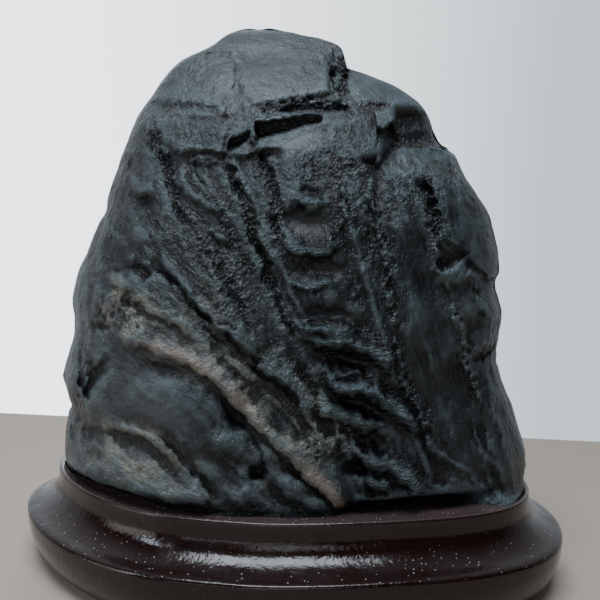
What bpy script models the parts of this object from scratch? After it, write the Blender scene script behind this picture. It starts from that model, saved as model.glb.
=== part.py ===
"""Suseok viewing stone, upright, resting in the fitted recess of its lacquered wooden stand.

Two loose pieces: the stone, and the carved stand that carries it.
Frame: +X along the stand's long axis, +Y towards the back, +Z up, with the origin in the middle
of the stand's flat underside. Sizes below are millimetres; meshes are made in metres.

The stone is a loft of level sections. Its outline and its relief are measured on an upright sheet
that stands SHEET_DISTANCE in front of a viewer's eye: U runs to the right on that sheet and W runs
up, both from its middle, in millimetres.
"""
import math

import bmesh
import bpy
import numpy as np

MM = 0.001

# The viewer's eye and the sheet that the front of the stone is measured on.
EYE = np.array((39.4, -267.7, 124.0))
EYE_TURN = math.radians(7.2)
EYE_TILT = math.radians(3.0)
EYE_ROLL = math.radians(0.9)
SHEET_DISTANCE = 248.0

# Stand: its widest edge (the arris) is an oval; every other ring is that oval drawn inwards.
ARRIS_OUTLINE = (
    (-116.4, 0), (-107, -24), (-89.5, -45), (-64, -63.5), (-36, -74), (-10, -75.5),
    (16, -73.5), (42, -67.5), (69, -59.5), (94, -47), (110, -29), (116.4, 0),
    (108.5, 28), (87, 48), (55, 65), (26, 73.3), (0, 75.5), (-26, 73.6), (-55, 65.5), (-87, 46),
    (-108.5, 24),
)
ARRIS_SMOOTHING = math.radians(7)
STAND_PROFILE = (
    (9.5, 0.0), (7.0, 1.4), (4.0, 4.8), (1.5, 9.6), (0.2, 15.5), (0.0, 19.5), (1.0, 20.7),
    (5.0, 21.6), (9.5, 23.6), (12.2, 27.0), (13.0, 30.6), (13.0, 35.2), (13.8, 36.0),
)
RECESS_EDGE_Z = 35.7
RECESS_FLOOR_Z = 30.0
RECESS_CLEARANCE = 0.4

# Stone: overall height above the table and the seat in the recess.
SUMMIT_Z = 227.5
SEAT_GAP = 0.3
SEAT_TOP_Z = 36.4
UNDERCUT_HEIGHT = 9.0
UNDERCUT_POWER = 1.5
FOOT_CENTRE = np.array((1.5, 2.0))
FOOT_OUTLINE = (
    (-98.5, 2), (-97.7, -9.6), (-88.5, -21.8), (-71, -32.4), (-49.8, -43.2), (-34.2, -53.6),
    (-22.2, -56.2), (-11, -57), (-0.6, -55.3), (13.5, -53.8), (24, -51.2), (28, -47),
    (29.6, -36), (35.9, -25.4), (45.7, -24.9), (64.7, -28), (79.3, -30.7), (90.2, -30.8),
    (96.7, -19.4), (100.8, -7.5), (101, 10), (94, 27), (78, 41), (55, 50), (25, 54),
    (-5, 55), (-35, 52), (-62, 45), (-83, 33), (-95, 17),
)

# Outline of the stone on the sheet, from the stand up to the summit, as U and W.
SUMMIT_UW = (-16.0, 108.9)
LEFT_OUTLINE = (
    (-93.3, -78), (-93.3, -65), (-93.3, -58), (-92.4, -48), (-91.8, -43.5), (-90.5, -41),
    (-92.2, -35.5), (-93.8, -29), (-93.4, -25), (-91.8, -19), (-89.4, -10), (-89.4, -7),
    (-90.4, 0), (-88.6, 9), (-84.2, 20), (-80.2, 30), (-77.4, 34.5), (-76.0, 41), (-73.2, 50),
    (-69.8, 60), (-67.4, 66), (-63.0, 75), (-59.6, 79), (-55.8, 85), (-52.5, 90), (-47.0, 95),
    (-39.0, 99), (-35.2, 101.3), (-31.0, 105), (-25.0, 107.8),
)
RIGHT_OUTLINE = (
    (85.0, -86), (87.0, -78), (89.6, -72), (90.2, -68), (90.0, -64), (88.5, -57), (86.0, -48.5),
    (83.0, -39), (79.5, -29), (78.0, -23), (78.6, -16), (80.0, -5), (79.0, 0), (77.4, 6),
    (77.5, 8), (79.0, 11), (79.2, 17), (77.5, 24), (75.0, 34), (71.0, 41), (65.0, 51.3),
    (61.4, 58.2), (57.5, 60.2), (54.5, 64), (53.0, 68), (50.0, 75.3), (45.0, 80.7),
    (37.0, 85.8), (30.0, 88), (24.0, 90.5), (19.4, 92.3), (18.4, 96), (17.2, 100), (14.0, 102.4),
    (8.0, 104.7), (0.0, 106.1), (-8.0, 107.9),
)
SIDE_DEPTH = ((-90, -8), (40, -3), (75, -6), (92, -10), (104, -9), (109, -1))

# Front-most and back-most points of the sections: height, x, y.
FRONT_LINE = (
    (30, -8, -56), (60, -6, -58), (90, -2, -58), (115, 0, -56.5), (140, 0, -52.5), (160, -2, -47),
    (178, -4, -40.5), (192, -8, -32.5), (206, -10, -22), (217, -12, -13), (223, -13, -5.5),
    (226, -14, 1),
)
BACK_LINE = (
    (30, 0, 55), (70, 2, 60), (105, 2, 58), (140, 0, 52), (170, -2, 45.5), (195, -6, 38),
    (208, -10, 33), (218, -12, 26.5), (223, -13, 20.5), (226, -14, 13.5),
)
SUMMIT_Y = 5.0
FRONT_FULLNESS = 2.35
BACK_FULLNESS = 2.25
SIGHT_SHARE = np.array((0.8, 1.0))

# Grid of the faceted solid.
COLUMNS = 70
FRONT_COLUMNS = 46
LEVELS = 53
TOP_ROUNDING = 0.08
FRONT_CROWDING = 0.15
FINEST_WIDTH = 3.2
FINEST_STEP = 2.2

# Relief of the front: ridges (height above 0) and furrows (below 0).
# Each row: height, half width, then the bent line as U, W pairs.
CAP_LINES = (
    (-7.0, 2.4, (-18.5, 66.8, -10, 68.6, -3, 69.6, 1, 71.8, 9, 73.2)),
    (-3.6, 2.3, (-17, 72.6, -12, 76, -5, 77.5, 3, 78.6, 12, 78, 20, 75.6)),
    (-5.0, 1.7, (-27.5, 61.6, -22, 66.6)),
    (-2.0, 1.8, (-52, 59, -52, 53)),
    (1.6, 1.2, (-43, 56.4, -34, 57.4)),
)
VEIN_LINES = (
    (-2.4, 3.0, (47.5, 49, 50, 44, 52, 38, 53, 32, 54.5, 26)),
    (1.8, 1.2, (55.5, 22, 57, 14, 58, 8, 59.6, 4, 60.6, -1, 62, -6)),
    (1.3, 1.6, (62, -6, 64, -12, 66.5, -19, 66, -24, 69, -32, 74, -42)),
    (1.2, 1.7, (28, 50, 27.5, 41, 30, 33, 31.5, 25, 34, 18, 36.5, 9, 36, -6, 38, -15)),
    (1.2, 1.7, (38, -15, 40.5, -24, 42, -32, 45, -38, 48.5, -46, 51, -54, 53.5, -62)),
    (-1.7, 2.5, (-29, 55, -26, 48, -22.5, 41, -20.5, 32, -18, 25, -14, 18)),
    (-1.6, 2.3, (-17.5, 60, -14.5, 53, -12, 47, -10.5, 39, -9.5, 31, -8, 24)),
    (-1.2, 2.0, (-13, 15, -12, 7, -8, -1, -5.5, -10, -2, -18)),
)
RIPPLE_LINES = (
    (1.6, 1.0, (0, 39.2, 5, 38.6, 9.5, 39.4)),
    (2.3, 1.4, (-5, 21.5, 0, 19.2, 6, 18.8, 11, 18.7, 15, 20)),
    (1.0, 1.0, (-3, 6.8, 3, 5, 8, 6.5, 14, 6.5)),
    (2.1, 1.3, (0, -11.3, 8, -13, 15, -14, 22, -14.5)),
    (2.1, 1.4, (5, -17, 12, -18.8, 19, -18.4, 27, -20.5, 34, -27)),
    (2.5, 1.6, (11, -28, 13, -33, 20, -35, 29, -37, 35, -41.5, 43, -48, 47, -52)),
    (-2.8, 3.0, (14, -38.5, 21, -41, 29, -44, 36, -49)),
    (2.1, 1.5, (6, -43, 14, -46.6, 21, -48.6, 30, -51)),
    (2.3, 1.6, (21, -61, 27, -64.4, 33, -67, 38, -67, 42, -71, 47, -79)),
    (-3.0, 1.9, (25, -75, 31, -77, 38, -77.5)),
    (1.4, 1.1, (26, -71, 30, -74, 35, -73.5)),
)
VALLEY_LINES = (
    (-4.0, 1.9, (-50, 8, -45, 0, -40, -5, -34, -9)),
    (-3.6, 2.4, (-69.5, 16, -64, 12.4, -59, 8)),
    (-3.6, 2.3, (-61.5, 19.5, -57, 15, -53, 9, -49, 5)),
    (2.0, 1.9, (-55, 19, -50, 12, -46, 4, -43, -1)),
    (-3.0, 2.2, (-36, -12, -32, -15, -25, -18.5, -21, -23, -17, -26)),
    (-3.6, 2.0, (-20, -27.5, -14, -30.5, -9, -33.5, -4, -39, -1, -43)),
    (4.0, 4.6, (-76, -14, -64, -16.5, -52, -20.5, -42, -25, -34, -30, -27, -37, -20, -45)),
    (4.0, 4.2, (-20, -45, -12, -54, -4, -61, 4, -67.5, 9, -74, 14, -80, 17, -86)),
    (-4.6, 2.5, (-31, -37, -28.5, -43, -22, -50, -16, -55, -11, -59, -6, -63.5)),
    (-4.2, 2.0, (-6, -63.5, -1, -69, 4, -74, 9, -79, 13.5, -86)),
    (2.0, 2.2, (-79, 11, -72, 7, -66, 3, -62, -3, -54, -6.5, -46, -10, -42, -15)),
    (-4.2, 3.4, (-79, -23, -83.5, -31, -87, -41)),
    (1.8, 1.8, (-76, -49, -63, -53, -55, -58.5, -48, -64, -42, -70, -38, -77, -34, -84)),
    (-2.4, 1.6, (-60, -49.5, -52.5, -56.5, -46, -62.5, -40, -68.5, -35, -77)),
    (-3.2, 2.6, (-86, -70, -76, -75, -64, -80, -54, -83)),
)
UPPER_LEFT_LINES = (
    (-1.9, 2.3, (-58, 72, -57, 62, -54, 54, -51, 47, -48, 38, -44, 31)),
    (2.0, 2.1, (-49, 57, -47, 49, -43, 42.5, -37, 38.5, -31, 35)),
    (-1.4, 1.5, (-43, 55, -41, 50, -37, 45)),
    (1.3, 1.2, (-37, 29, -32, 25.6, -28, 23)),
    (-1.6, 1.8, (-34, 25, -30, 21.5, -25, 19)),
    (1.2, 2.4, (-70, 52, -64, 45, -58, 42)),
)
RIGHT_LINES = (
    (1.2, 1.3, (66, -17.6, 70, -19.4, 76.5, -18)),
    (-1.4, 1.3, (65, 17, 71, 11, 77, 7)),
    (1.2, 1.3, (50, -53, 54, -61, 61, -65, 70.5, -70)),
    (1.2, 1.2, (68, -46, 70.5, -54, 74, -62, 81, -68)),
    (1.0, 1.2, (49, -71, 54, -75, 60, -79)),
)

# Steps in the front: height, crispness, reach, then the edge; the side on the left hand of
# someone who walks along the edge is the one that stands forward.
STEP_LINES = (
    (4.2, 0.9, 22, (-53, 60, -44, 59.7, -35, 59.3, -30, 59.2, -27.5, 61.5)),
    (5.0, 1.8, 18, (20, 74, 16.5, 80, 16.8, 88, 17, 94)),
    (6.0, 1.3, 20, (28.5, 51, 32, 57, 33, 62, 32.5, 66.5, 37, 71, 37.5, 75.5)),
    (5.0, 1.0, 15, (37, 76.3, 42, 76, 46, 76.8, 51, 77.5)),
    (5.5, 1.0, 24, (56, 60.6, 48, 60.8, 42, 60.8, 36, 60)),
    (4.0, 4.0, 40, (68, 53, 50, 55, 33, 55)),
    (3.5, 4.2, 30, (30, 61, 10, 63, -17, 60.5)),
)

# Lumps (height above 0) and hollows (below 0): height, U, W, half length, half width, turn.
LUMPS = (
    (-6.0, 58.6, 16, 7.0, 3.4, 70), (-4.0, 64.5, 17.6, 4.8, 1.9, 0), (2.6, 65, 10, 6.5, 3.8, 25),
    (-2.6, 52.5, 38.5, 2.8, 1.8, 0), (-2.6, 52, 29, 2.6, 2.4, 0), (1.6, 44, 67.5, 5, 2.6, 10),
    (-2.5, 1, 32.5, 9, 4.3, 0), (-2.6, 9, 12, 9, 4.0, 0), (-3.2, 12, -6.5, 10.5, 4.8, 0),
    (-2.8, 18, -24.5, 9.5, 4.0, -6), (-3.2, 29, -56.5, 9.5, 3.8, -18), (-6.0, 22.4, -67, 5, 3.3, 0),
    (-1.5, 5, 43, 5, 2.2, 0), (-2.6, -40, 32.5, 6.5, 5, -42), (-1.4, -62, 40, 6, 3.2, -10),
    (-3.2, -26, -47, 5.5, 4, -40), (4.6, -53, -42, 21, 16, -20), (-2.4, -54.5, -28, 7.5, 3, -10),
    (3.0, -89, -28, 4.5, 9, 0), (1.6, -84, 1, 5, 8, 0), (-1.8, -79, -11.8, 5.5, 2.2, 0),
    (1.8, -36, -68, 6, 3.4, -28), (2.0, -26.5, -57.5, 6.5, 4, -28), (1.6, -11.5, -63, 4, 3, -30),
    (2.6, -3, -75, 6, 5, -20), (-4.2, -17, -69, 3.6, 3.8, 0), (1.6, -24, -79, 5, 3.6, 0),
    (1.8, 8, -83, 5.5, 4, 0), (1.6, 72, -2, 7, 8, 0), (2.0, 69, 28, 8, 7, 0), (1.6, 65, 44, 8, 5, 0),
    (-1.6, 70, -10, 6.5, 3, 0), (-1.4, 61, -35, 9, 8, 0), (1.4, 47, -5, 8, 9, 0),
    (-1.3, 39, -38, 5, 3.2, -20), (1.4, 22, -4, 5, 3.5, 0), (1.2, 42, 30, 7, 6, 0),
    (1.3, -20, 44, 4.5, 12, 0), (1.2, -4, 47, 4.5, 9, 0), (1.6, -64, 26, 5, 4, 0),
    (2.2, -70, -66, 16, 8, -25),
)

# Roundness of the cross-section of a line and of a lump: higher is flatter, with steeper sides.
LINE_ROUNDNESS = 2.2
LUMP_ROUNDNESS = 1.3

# The sides and the back: strata that dip to the right, as on the front, with lumps between them.
STRATA_SPACING = 21.0
STRATA_DEPTH = 3.4
STRATA_DIP = np.array((0.55, 0.30, 0.78))
BACK_SWELL = 1.7
BACK_SWELL_LENGTH = 46.0
LUMP_SWELL = 1.1
LUMP_SWELL_LENGTH = 19.0

STONE_COLOUR = (0.024, 0.028, 0.030, 1.0)
STONE_ROUGHNESS = 0.55
LACQUER_COLOUR = (0.030, 0.008, 0.006, 1.0)
LACQUER_ROUGHNESS = 0.18


def smoothstep(low, high, value):
    """Soft switch from 0 at low to 1 at high."""
    share = np.clip((value - low) / (high - low), 0.0, 1.0)
    return share * share * (3.0 - 2.0 * share)


def smooth_table(keys, values, wanted):
    """Cubic through a table that never overshoots: each knot's slope is the harmonic mean."""
    keys = np.asarray(keys, dtype=float)
    values = np.asarray(values, dtype=float)
    spans = np.diff(keys)
    slopes = np.diff(values) / spans
    product = slopes[1:] * slopes[:-1]
    total = np.where(product > 0, slopes[1:] + slopes[:-1], 1.0)
    inner = np.where(product > 0, 2.0 * product / total, 0.0)
    tangents = np.concatenate((slopes[:1], inner, slopes[-1:]))
    index = np.clip(np.searchsorted(keys, wanted) - 1, 0, len(spans) - 1)
    t = (wanted - keys[index]) / spans[index]
    start = values[index] * (1 + 2 * t) * (1 - t) ** 2 + tangents[index] * spans[index] * t * (1 - t) ** 2
    end = values[index + 1] * t * t * (3 - 2 * t) + tangents[index + 1] * spans[index] * t * t * (t - 1)
    return start + end


def eye_axes():
    """Right, up and forward directions of the viewer's eye, with its small roll."""
    sin_turn, cos_turn = math.sin(EYE_TURN), math.cos(EYE_TURN)
    sin_tilt, cos_tilt = math.sin(EYE_TILT), math.cos(EYE_TILT)
    forward = np.array((-sin_turn * cos_tilt, cos_turn * cos_tilt, -sin_tilt))
    level = np.array((cos_turn, sin_turn, 0.0))
    upright = np.cross(level, forward)
    right = math.cos(EYE_ROLL) * level + math.sin(EYE_ROLL) * upright
    up = math.cos(EYE_ROLL) * upright - math.sin(EYE_ROLL) * level
    return right, up, forward


def from_sheet(u, w, y):
    """Point at depth y that the eye sees at U, W on the sheet."""
    right, up, forward = eye_axes()
    ray = SHEET_DISTANCE * forward + u * right + w * up
    return EYE + ray * (y - EYE[1]) / ray[1]


def to_sheet(points):
    """U, W and depth of points, as the eye sees them on the sheet."""
    right, up, forward = eye_axes()
    offset = points - EYE
    depth = offset @ forward
    return SHEET_DISTANCE * (offset @ right) / depth, SHEET_DISTANCE * (offset @ up) / depth, depth


def summit():
    """Highest point of the stone."""
    top = from_sheet(*SUMMIT_UW, SUMMIT_Y)
    return np.array((top[0], SUMMIT_Y, SUMMIT_Z))


def side_line(outline):
    """Side of the stone as heights, x and y, from its outline on the sheet."""
    keys, depths = zip(*SIDE_DEPTH)
    rows = [from_sheet(u, w, smooth_table(keys, depths, w)) for u, w in outline]
    top = summit()
    rows = sorted((row for row in rows if row[2] < SUMMIT_Z - 0.2), key=lambda row: row[2])
    return [(row[2], row[0], row[1]) for row in rows] + [(top[2], top[0], top[1])]


def line_at(line, z):
    """Place on a line of heights, x and y at each height, smooth over the rounded top."""
    heights = np.array([row[0] for row in line], dtype=float)
    keys = -np.sqrt(np.maximum(SUMMIT_Z - heights, 0.0))
    wanted = -np.sqrt(np.maximum(SUMMIT_Z - z, 0.0))
    x = smooth_table(keys, [row[1] for row in line], wanted)
    y = smooth_table(keys, [row[2] for row in line], wanted)
    return np.stack((x, y), axis=-1)


def quarter(side, tip, angle, fullness):
    """Quarter of a section from its side point to its front or back tip.

    A superellipse arc about a sheared centre, so that it leaves the side nearly along the eye's
    line of sight and reaches the tip square to it.
    """
    level = np.array((math.cos(EYE_TURN), math.sin(EYE_TURN)))
    sight = (side - EYE[:2]) * SIGHT_SHARE
    gap = side - tip
    reach = (gap[..., 0] * level[1] - gap[..., 1] * level[0]) / (
        sight[..., 0] * level[1] - sight[..., 1] * level[0])
    centre = tip + reach[..., None] * sight
    to_tip, to_side = np.abs(np.sin(angle)), np.abs(np.cos(angle))
    size = (to_tip ** fullness + to_side ** fullness) ** (-1.0 / fullness)
    to_tip, to_side = to_tip * size, to_side * size
    return centre + (tip - centre) * to_tip[..., None] + (side - centre) * to_side[..., None]


def foot_point(angle):
    """Point of the foot's outline in each direction from the foot's centre."""
    spokes = np.array(FOOT_OUTLINE) - FOOT_CENTRE
    angles = np.arctan2(spokes[:, 1], spokes[:, 0])
    order = np.argsort(angles)
    radius = np.interp(angle, angles[order], np.hypot(spokes[:, 0], spokes[:, 1])[order],
                       period=2 * math.pi)
    return FOOT_CENTRE + radius[..., None] * np.stack((np.cos(angle), np.sin(angle)), axis=-1)


def column_angles(columns, front_columns):
    """Angles round a section, from its left side over the front to the right and the back."""
    share = np.arange(front_columns) / front_columns
    crowd = FRONT_CROWDING * np.sin(2 * math.pi * share) / (2 * math.pi)
    front = -math.pi + math.pi * (share + crowd)
    back_columns = columns - front_columns
    back = math.pi * np.arange(back_columns) / back_columns
    return np.concatenate((front, back))


def level_heights(levels):
    """Heights of the sections from the seat up: even on the body, crowding at the rounded top."""
    share = np.arange(1, levels) / (levels - 1)
    drop = np.sqrt(1 + (share / TOP_ROUNDING) ** 2) - 1
    heights = SUMMIT_Z - (SUMMIT_Z - SEAT_TOP_Z) * drop / drop[-1]
    return np.concatenate((heights, (RECESS_FLOOR_Z + SEAT_GAP,)))[::-1]


def bare_form(heights, angles):
    """Loft of sections without relief: one row of points for each height."""
    z = heights[:, None] + 0.0 * angles[None, :]
    angle = angles[None, :] + 0.0 * z
    left, right = line_at(side_line(LEFT_OUTLINE), z), line_at(side_line(RIGHT_OUTLINE), z)
    crest = [(SUMMIT_Z, summit()[0], SUMMIT_Y)]
    front = line_at(list(FRONT_LINE) + crest, z)
    back = line_at(list(BACK_LINE) + crest, z)
    side = np.where(np.cos(angle)[..., None] < 0, left, right)
    is_front = np.sin(angle) <= 0
    tip = np.where(is_front[..., None], front, back)
    fullness = np.where(is_front, FRONT_FULLNESS, BACK_FULLNESS)
    plan = quarter(side, tip, angle, fullness)
    spoke = plan - FOOT_CENTRE
    foot = foot_point(np.arctan2(spoke[..., 1], spoke[..., 0]))
    rise = np.clip((z - SEAT_TOP_Z) / UNDERCUT_HEIGHT, 0.0, 1.0)
    share = ((1.0 - rise) ** UNDERCUT_POWER)[..., None]
    plan = plan * (1.0 - share) + foot * share
    return np.concatenate((plan, z[..., None]), axis=-1)


def along_line(pairs, u, w):
    """Distance to a bent line, positive on its left hand, and the share of the way along it."""
    knots = np.array(pairs, dtype=float).reshape(-1, 2)
    lengths = np.hypot(*np.diff(knots, axis=0).T)
    starts = np.concatenate(((0.0,), np.cumsum(lengths)))
    nearest = np.full(u.shape, 1e9)
    signed = np.zeros(u.shape)
    share = np.zeros(u.shape)
    for (a, b), length, start in zip(zip(knots[:-1], knots[1:]), lengths, starts):
        step = (b - a) / length
        run = np.clip((u - a[0]) * step[0] + (w - a[1]) * step[1], 0.0, length)
        off_u, off_w = u - a[0] - run * step[0], w - a[1] - run * step[1]
        distance = np.hypot(off_u, off_w)
        closer = distance < nearest
        nearest = np.where(closer, distance, nearest)
        signed = np.where(closer, np.copysign(distance, step[0] * off_w - step[1] * off_u), signed)
        share = np.where(closer, (start + run) / starts[-1], share)
    return signed, share


def taper(share):
    """Fades a line out over the first and the last tenth of its run."""
    return 0.25 + 0.75 * smoothstep(0.0, 0.12, np.minimum(share, 1.0 - share))


def front_relief(u, w):
    """How far the front stands towards the eye at U, W: lines, steps, lumps and hollows."""
    lift = np.zeros(u.shape)
    groups = CAP_LINES + VEIN_LINES + RIPPLE_LINES + VALLEY_LINES + UPPER_LEFT_LINES + RIGHT_LINES
    for height, half_width, pairs in groups:
        distance, share = along_line(pairs, u, w)
        width = max(half_width, FINEST_WIDTH)
        lift += height * taper(share) * np.exp(-np.abs(distance / width) ** LINE_ROUNDNESS)
    for height, crispness, reach, pairs in STEP_LINES:
        distance, share = along_line(pairs, u, w)
        forward = 0.5 + 0.5 * np.tanh(distance / max(crispness, FINEST_STEP))
        lift += height * taper(share) * forward * np.exp(-(np.maximum(distance, 0.0) / reach) ** 2)
    for height, middle_u, middle_w, half_length, half_width, turn in LUMPS:
        cos_turn, sin_turn = math.cos(math.radians(turn)), math.sin(math.radians(turn))
        along = ((u - middle_u) * cos_turn + (w - middle_w) * sin_turn) / half_length
        across = ((w - middle_w) * cos_turn - (u - middle_u) * sin_turn) / half_width
        lift += height * np.exp(-(along ** 2 + across ** 2) ** LUMP_ROUNDNESS)
    return lift


def swell(points, length, seed):
    """Smooth seeded swell of about one unit: a sum of waves in random directions."""
    random = np.random.default_rng(seed)
    total = np.zeros(points.shape[:-1])
    waves = 24
    for _ in range(waves):
        heading = random.normal(size=3)
        heading /= np.linalg.norm(heading)
        pitch = length * random.uniform(0.75, 1.45)
        total += np.sin(2 * math.pi * (points @ heading) / pitch + random.uniform(0, 2 * math.pi))
    return total * math.sqrt(2.0 / waves)


def side_relief(points):
    """Outward relief of the sides and the back: dipping strata furrows and lumps."""
    dip = STRATA_DIP / np.linalg.norm(STRATA_DIP)
    bend = 5.0 * swell(points, BACK_SWELL_LENGTH, 11)
    phase = (points @ dip + bend) / STRATA_SPACING
    saw = phase - np.floor(phase)
    ledge = smoothstep(0.0, 0.16, saw) * (1.0 - saw) - 0.4
    lumps = LUMP_SWELL * swell(points, LUMP_SWELL_LENGTH, 23)
    return STRATA_DEPTH * ledge + BACK_SWELL * swell(points, BACK_SWELL_LENGTH, 17) + lumps


def outward(points):
    """Direction in which the sides and back swell: away from the axis, turning up at the top."""
    spoke = points[..., :2] - FOOT_CENTRE
    spoke = spoke / np.maximum(np.linalg.norm(spoke, axis=-1, keepdims=True), 1e-6)
    climb = np.clip((points[..., 2] - 140.0) / (SUMMIT_Z - 140.0), 0.0, 1.0)[..., None] ** 3
    return np.concatenate((spoke * (1.0 - climb), climb), axis=-1)


def stone_points(heights, angles):
    """The stone's surface: bare form, front relief along the eye's rays, side relief outwards."""
    points = bare_form(heights, angles)
    facing = smoothstep(-0.12, 0.18, -np.sin(angles))[None, :]
    behind = smoothstep(-0.15, 0.45, np.sin(angles))[None, :]
    seat = smoothstep(SEAT_TOP_Z, SEAT_TOP_Z + 5.0, points[..., 2])
    top = smoothstep(0.0, 9.0, SUMMIT_Z - points[..., 2])
    u, w, depth = to_sheet(points)
    lift = front_relief(u, w) * facing * seat * top
    beside = side_relief(points) * behind * seat * top
    moved = EYE + (points - EYE) * (1.0 - lift / depth)[..., None]
    return moved + outward(points) * beside[..., None]


def closed_loft(name, rings, bottom, top):
    """Mesh of rings bridged one to the next, closed at both ends by a fan to a middle point."""
    form = bmesh.new()
    loops = [[form.verts.new(point * MM) for point in ring] for ring in rings]
    for lower, upper in zip(loops[:-1], loops[1:]):
        for index in range(len(lower)):
            after = (index + 1) % len(lower)
            form.faces.new((lower[index], lower[after], upper[after], upper[index]))
    for loop, middle in ((loops[0][::-1], bottom), (loops[-1], top)):
        hub = form.verts.new(np.asarray(middle) * MM)
        for index, corner in enumerate(loop):
            form.faces.new((corner, loop[(index + 1) % len(loop)], hub))
    bmesh.ops.triangulate(form, faces=form.faces[:])
    mesh = bpy.data.meshes.new(name)
    form.to_mesh(mesh)
    form.free()
    piece = bpy.data.objects.new(name, mesh)
    bpy.context.scene.collection.objects.link(piece)
    return piece


def offset_ring(ring, distance):
    """Closed outline moved outwards (distance above 0) or inwards, square to its edges."""
    ahead = np.roll(ring, -1, axis=0) - ring
    ahead /= np.linalg.norm(ahead, axis=1, keepdims=True)
    normal = np.stack((ahead[:, 1], -ahead[:, 0]), axis=1)
    before = np.roll(normal, 1, axis=0)
    corner = normal + before
    corner /= np.sum(corner * normal, axis=1, keepdims=True)
    return ring + distance * corner


def arris_ring(angle):
    """Widest oval of the stand in each direction, centred on the origin."""
    knots = np.array(ARRIS_OUTLINE, dtype=float)
    angles = np.arctan2(knots[:, 1], knots[:, 0])
    order = np.argsort(angles)
    keys = angles[order]
    radii = np.hypot(knots[:, 0], knots[:, 1])[order]
    turn = 2 * math.pi
    keys = np.concatenate((keys - turn, keys, keys + turn))
    radii = np.concatenate((radii, radii, radii))
    window = np.linspace(-ARRIS_SMOOTHING, ARRIS_SMOOTHING, 9)
    radius = np.mean([smooth_table(keys, radii, angle + shift) for shift in window], axis=0)
    ring = radius[:, None] * np.stack((np.cos(angle), np.sin(angle)), axis=1)
    return ring - (ring.min(axis=0) + ring.max(axis=0)) / 2


def flat_ring(ring, z):
    """Ring of plan points at one height."""
    return np.column_stack((ring, np.full(len(ring), z)))


def make_stone(angles):
    """The stone: one closed solid with a flat seat."""
    rows = stone_points(level_heights(LEVELS), angles)
    seat_centre = (*FOOT_CENTRE, RECESS_FLOOR_Z + SEAT_GAP)
    return closed_loft("stone", rows, seat_centre, summit())


def make_stand(angles):
    """The stand: rounded foot, band, cove and lip, with a recess cut to the stone's foot."""
    foot = bare_form(np.array((SEAT_TOP_Z,)), angles)[0, :, :2]
    spoke = foot - FOOT_CENTRE
    oval = arris_ring(np.arctan2(spoke[:, 1], spoke[:, 0]))
    rings = [flat_ring(offset_ring(oval, -inset), z) for inset, z in STAND_PROFILE]
    recess = offset_ring(foot, RECESS_CLEARANCE)
    rings.append(flat_ring(recess, RECESS_EDGE_Z))
    rings.append(flat_ring(recess, RECESS_FLOOR_Z))
    return closed_loft("stand", rings, (0.0, 0.0, 0.0), (*FOOT_CENTRE, RECESS_FLOOR_Z))


def finish(piece, name, colour, roughness):
    """Gives a piece its own plain material and smooth shading with sharp arrises."""
    material = bpy.data.materials.new(name)
    material.use_nodes = True
    shader = material.node_tree.nodes["Principled BSDF"]
    shader.inputs["Base Color"].default_value = colour
    shader.inputs["Roughness"].default_value = roughness
    shader.inputs["Metallic"].default_value = 0.0
    piece.data.materials.append(material)
    piece.data.shade_smooth()
    piece.data.set_sharp_from_angle(angle=math.radians(50))


def main():
    """Clears the scene's objects and makes the stone and its stand."""
    for leftover in list(bpy.data.objects):
        bpy.data.objects.remove(leftover)
    angles = column_angles(COLUMNS, FRONT_COLUMNS)
    finish(make_stone(angles), "dark_river_stone", STONE_COLOUR, STONE_ROUGHNESS)
    finish(make_stand(angles), "red_brown_lacquer", LACQUER_COLOUR, LACQUER_ROUGHNESS)


main()
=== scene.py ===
import itertools
import math

import bpy
import numpy as np
from mathutils import Matrix, Vector


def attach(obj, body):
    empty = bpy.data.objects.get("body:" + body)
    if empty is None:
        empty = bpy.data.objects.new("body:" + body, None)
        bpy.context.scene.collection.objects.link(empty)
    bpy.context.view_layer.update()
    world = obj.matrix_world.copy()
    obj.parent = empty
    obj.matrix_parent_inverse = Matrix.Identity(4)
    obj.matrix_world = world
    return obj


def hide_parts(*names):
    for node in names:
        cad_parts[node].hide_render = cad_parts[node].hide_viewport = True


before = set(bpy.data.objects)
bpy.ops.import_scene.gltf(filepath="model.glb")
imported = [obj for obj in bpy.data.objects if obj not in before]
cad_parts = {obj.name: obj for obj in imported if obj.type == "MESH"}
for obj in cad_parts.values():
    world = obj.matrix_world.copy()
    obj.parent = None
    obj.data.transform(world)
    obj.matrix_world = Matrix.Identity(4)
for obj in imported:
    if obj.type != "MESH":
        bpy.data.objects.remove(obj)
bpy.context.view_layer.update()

# Sizes are millimetres in this script; meshes are made in metres.
MM = 0.001

# The viewer's eye and the upright sheet that the front of the stone is measured on: U runs to
# the right on the sheet and W runs up, both from its middle.
EYE = np.array((39.4, -267.7, 124.0))
EYE_TURN = math.radians(7.2)
EYE_TILT = math.radians(3.0)
EYE_ROLL = math.radians(0.9)
SHEET_DISTANCE = 248.0
LENS_MM = 37.2
SENSOR_MM = 36.0

# Stand: its widest edge (the arris) is an oval, and every other ring is that oval drawn inwards.
# The rows of a profile are inset and height.
ARRIS_OUTLINE = (
    (-116.4, 0), (-107, -24), (-89.5, -45), (-64, -63.5), (-36, -74), (-10, -75.5),
    (16, -73.5), (42, -67.5), (69, -59.5), (94, -47), (110, -29), (116.4, 0),
    (108.5, 28), (87, 48), (55, 65), (26, 73.3), (0, 75.5), (-26, 73.6), (-55, 65.5), (-87, 46),
    (-108.5, 24),
)
ARRIS_SMOOTHING = math.radians(7)
FOOT_PROFILE = ((9.5, 0.0), (7.0, 1.4), (4.0, 4.8), (1.5, 9.6), (0.2, 15.5), (0.0, 19.5))
COVE_PROFILE = (
    (0.35, 20.4), (1.3, 20.9), (4.8, 21.9), (8.6, 23.9), (11.4, 26.7), (12.8, 30.3), (13.0, 35.0),
    (13.15, 35.7), (13.8, 36.05), (14.6, 35.9),
)
FOOT_STEPS = 22
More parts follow.
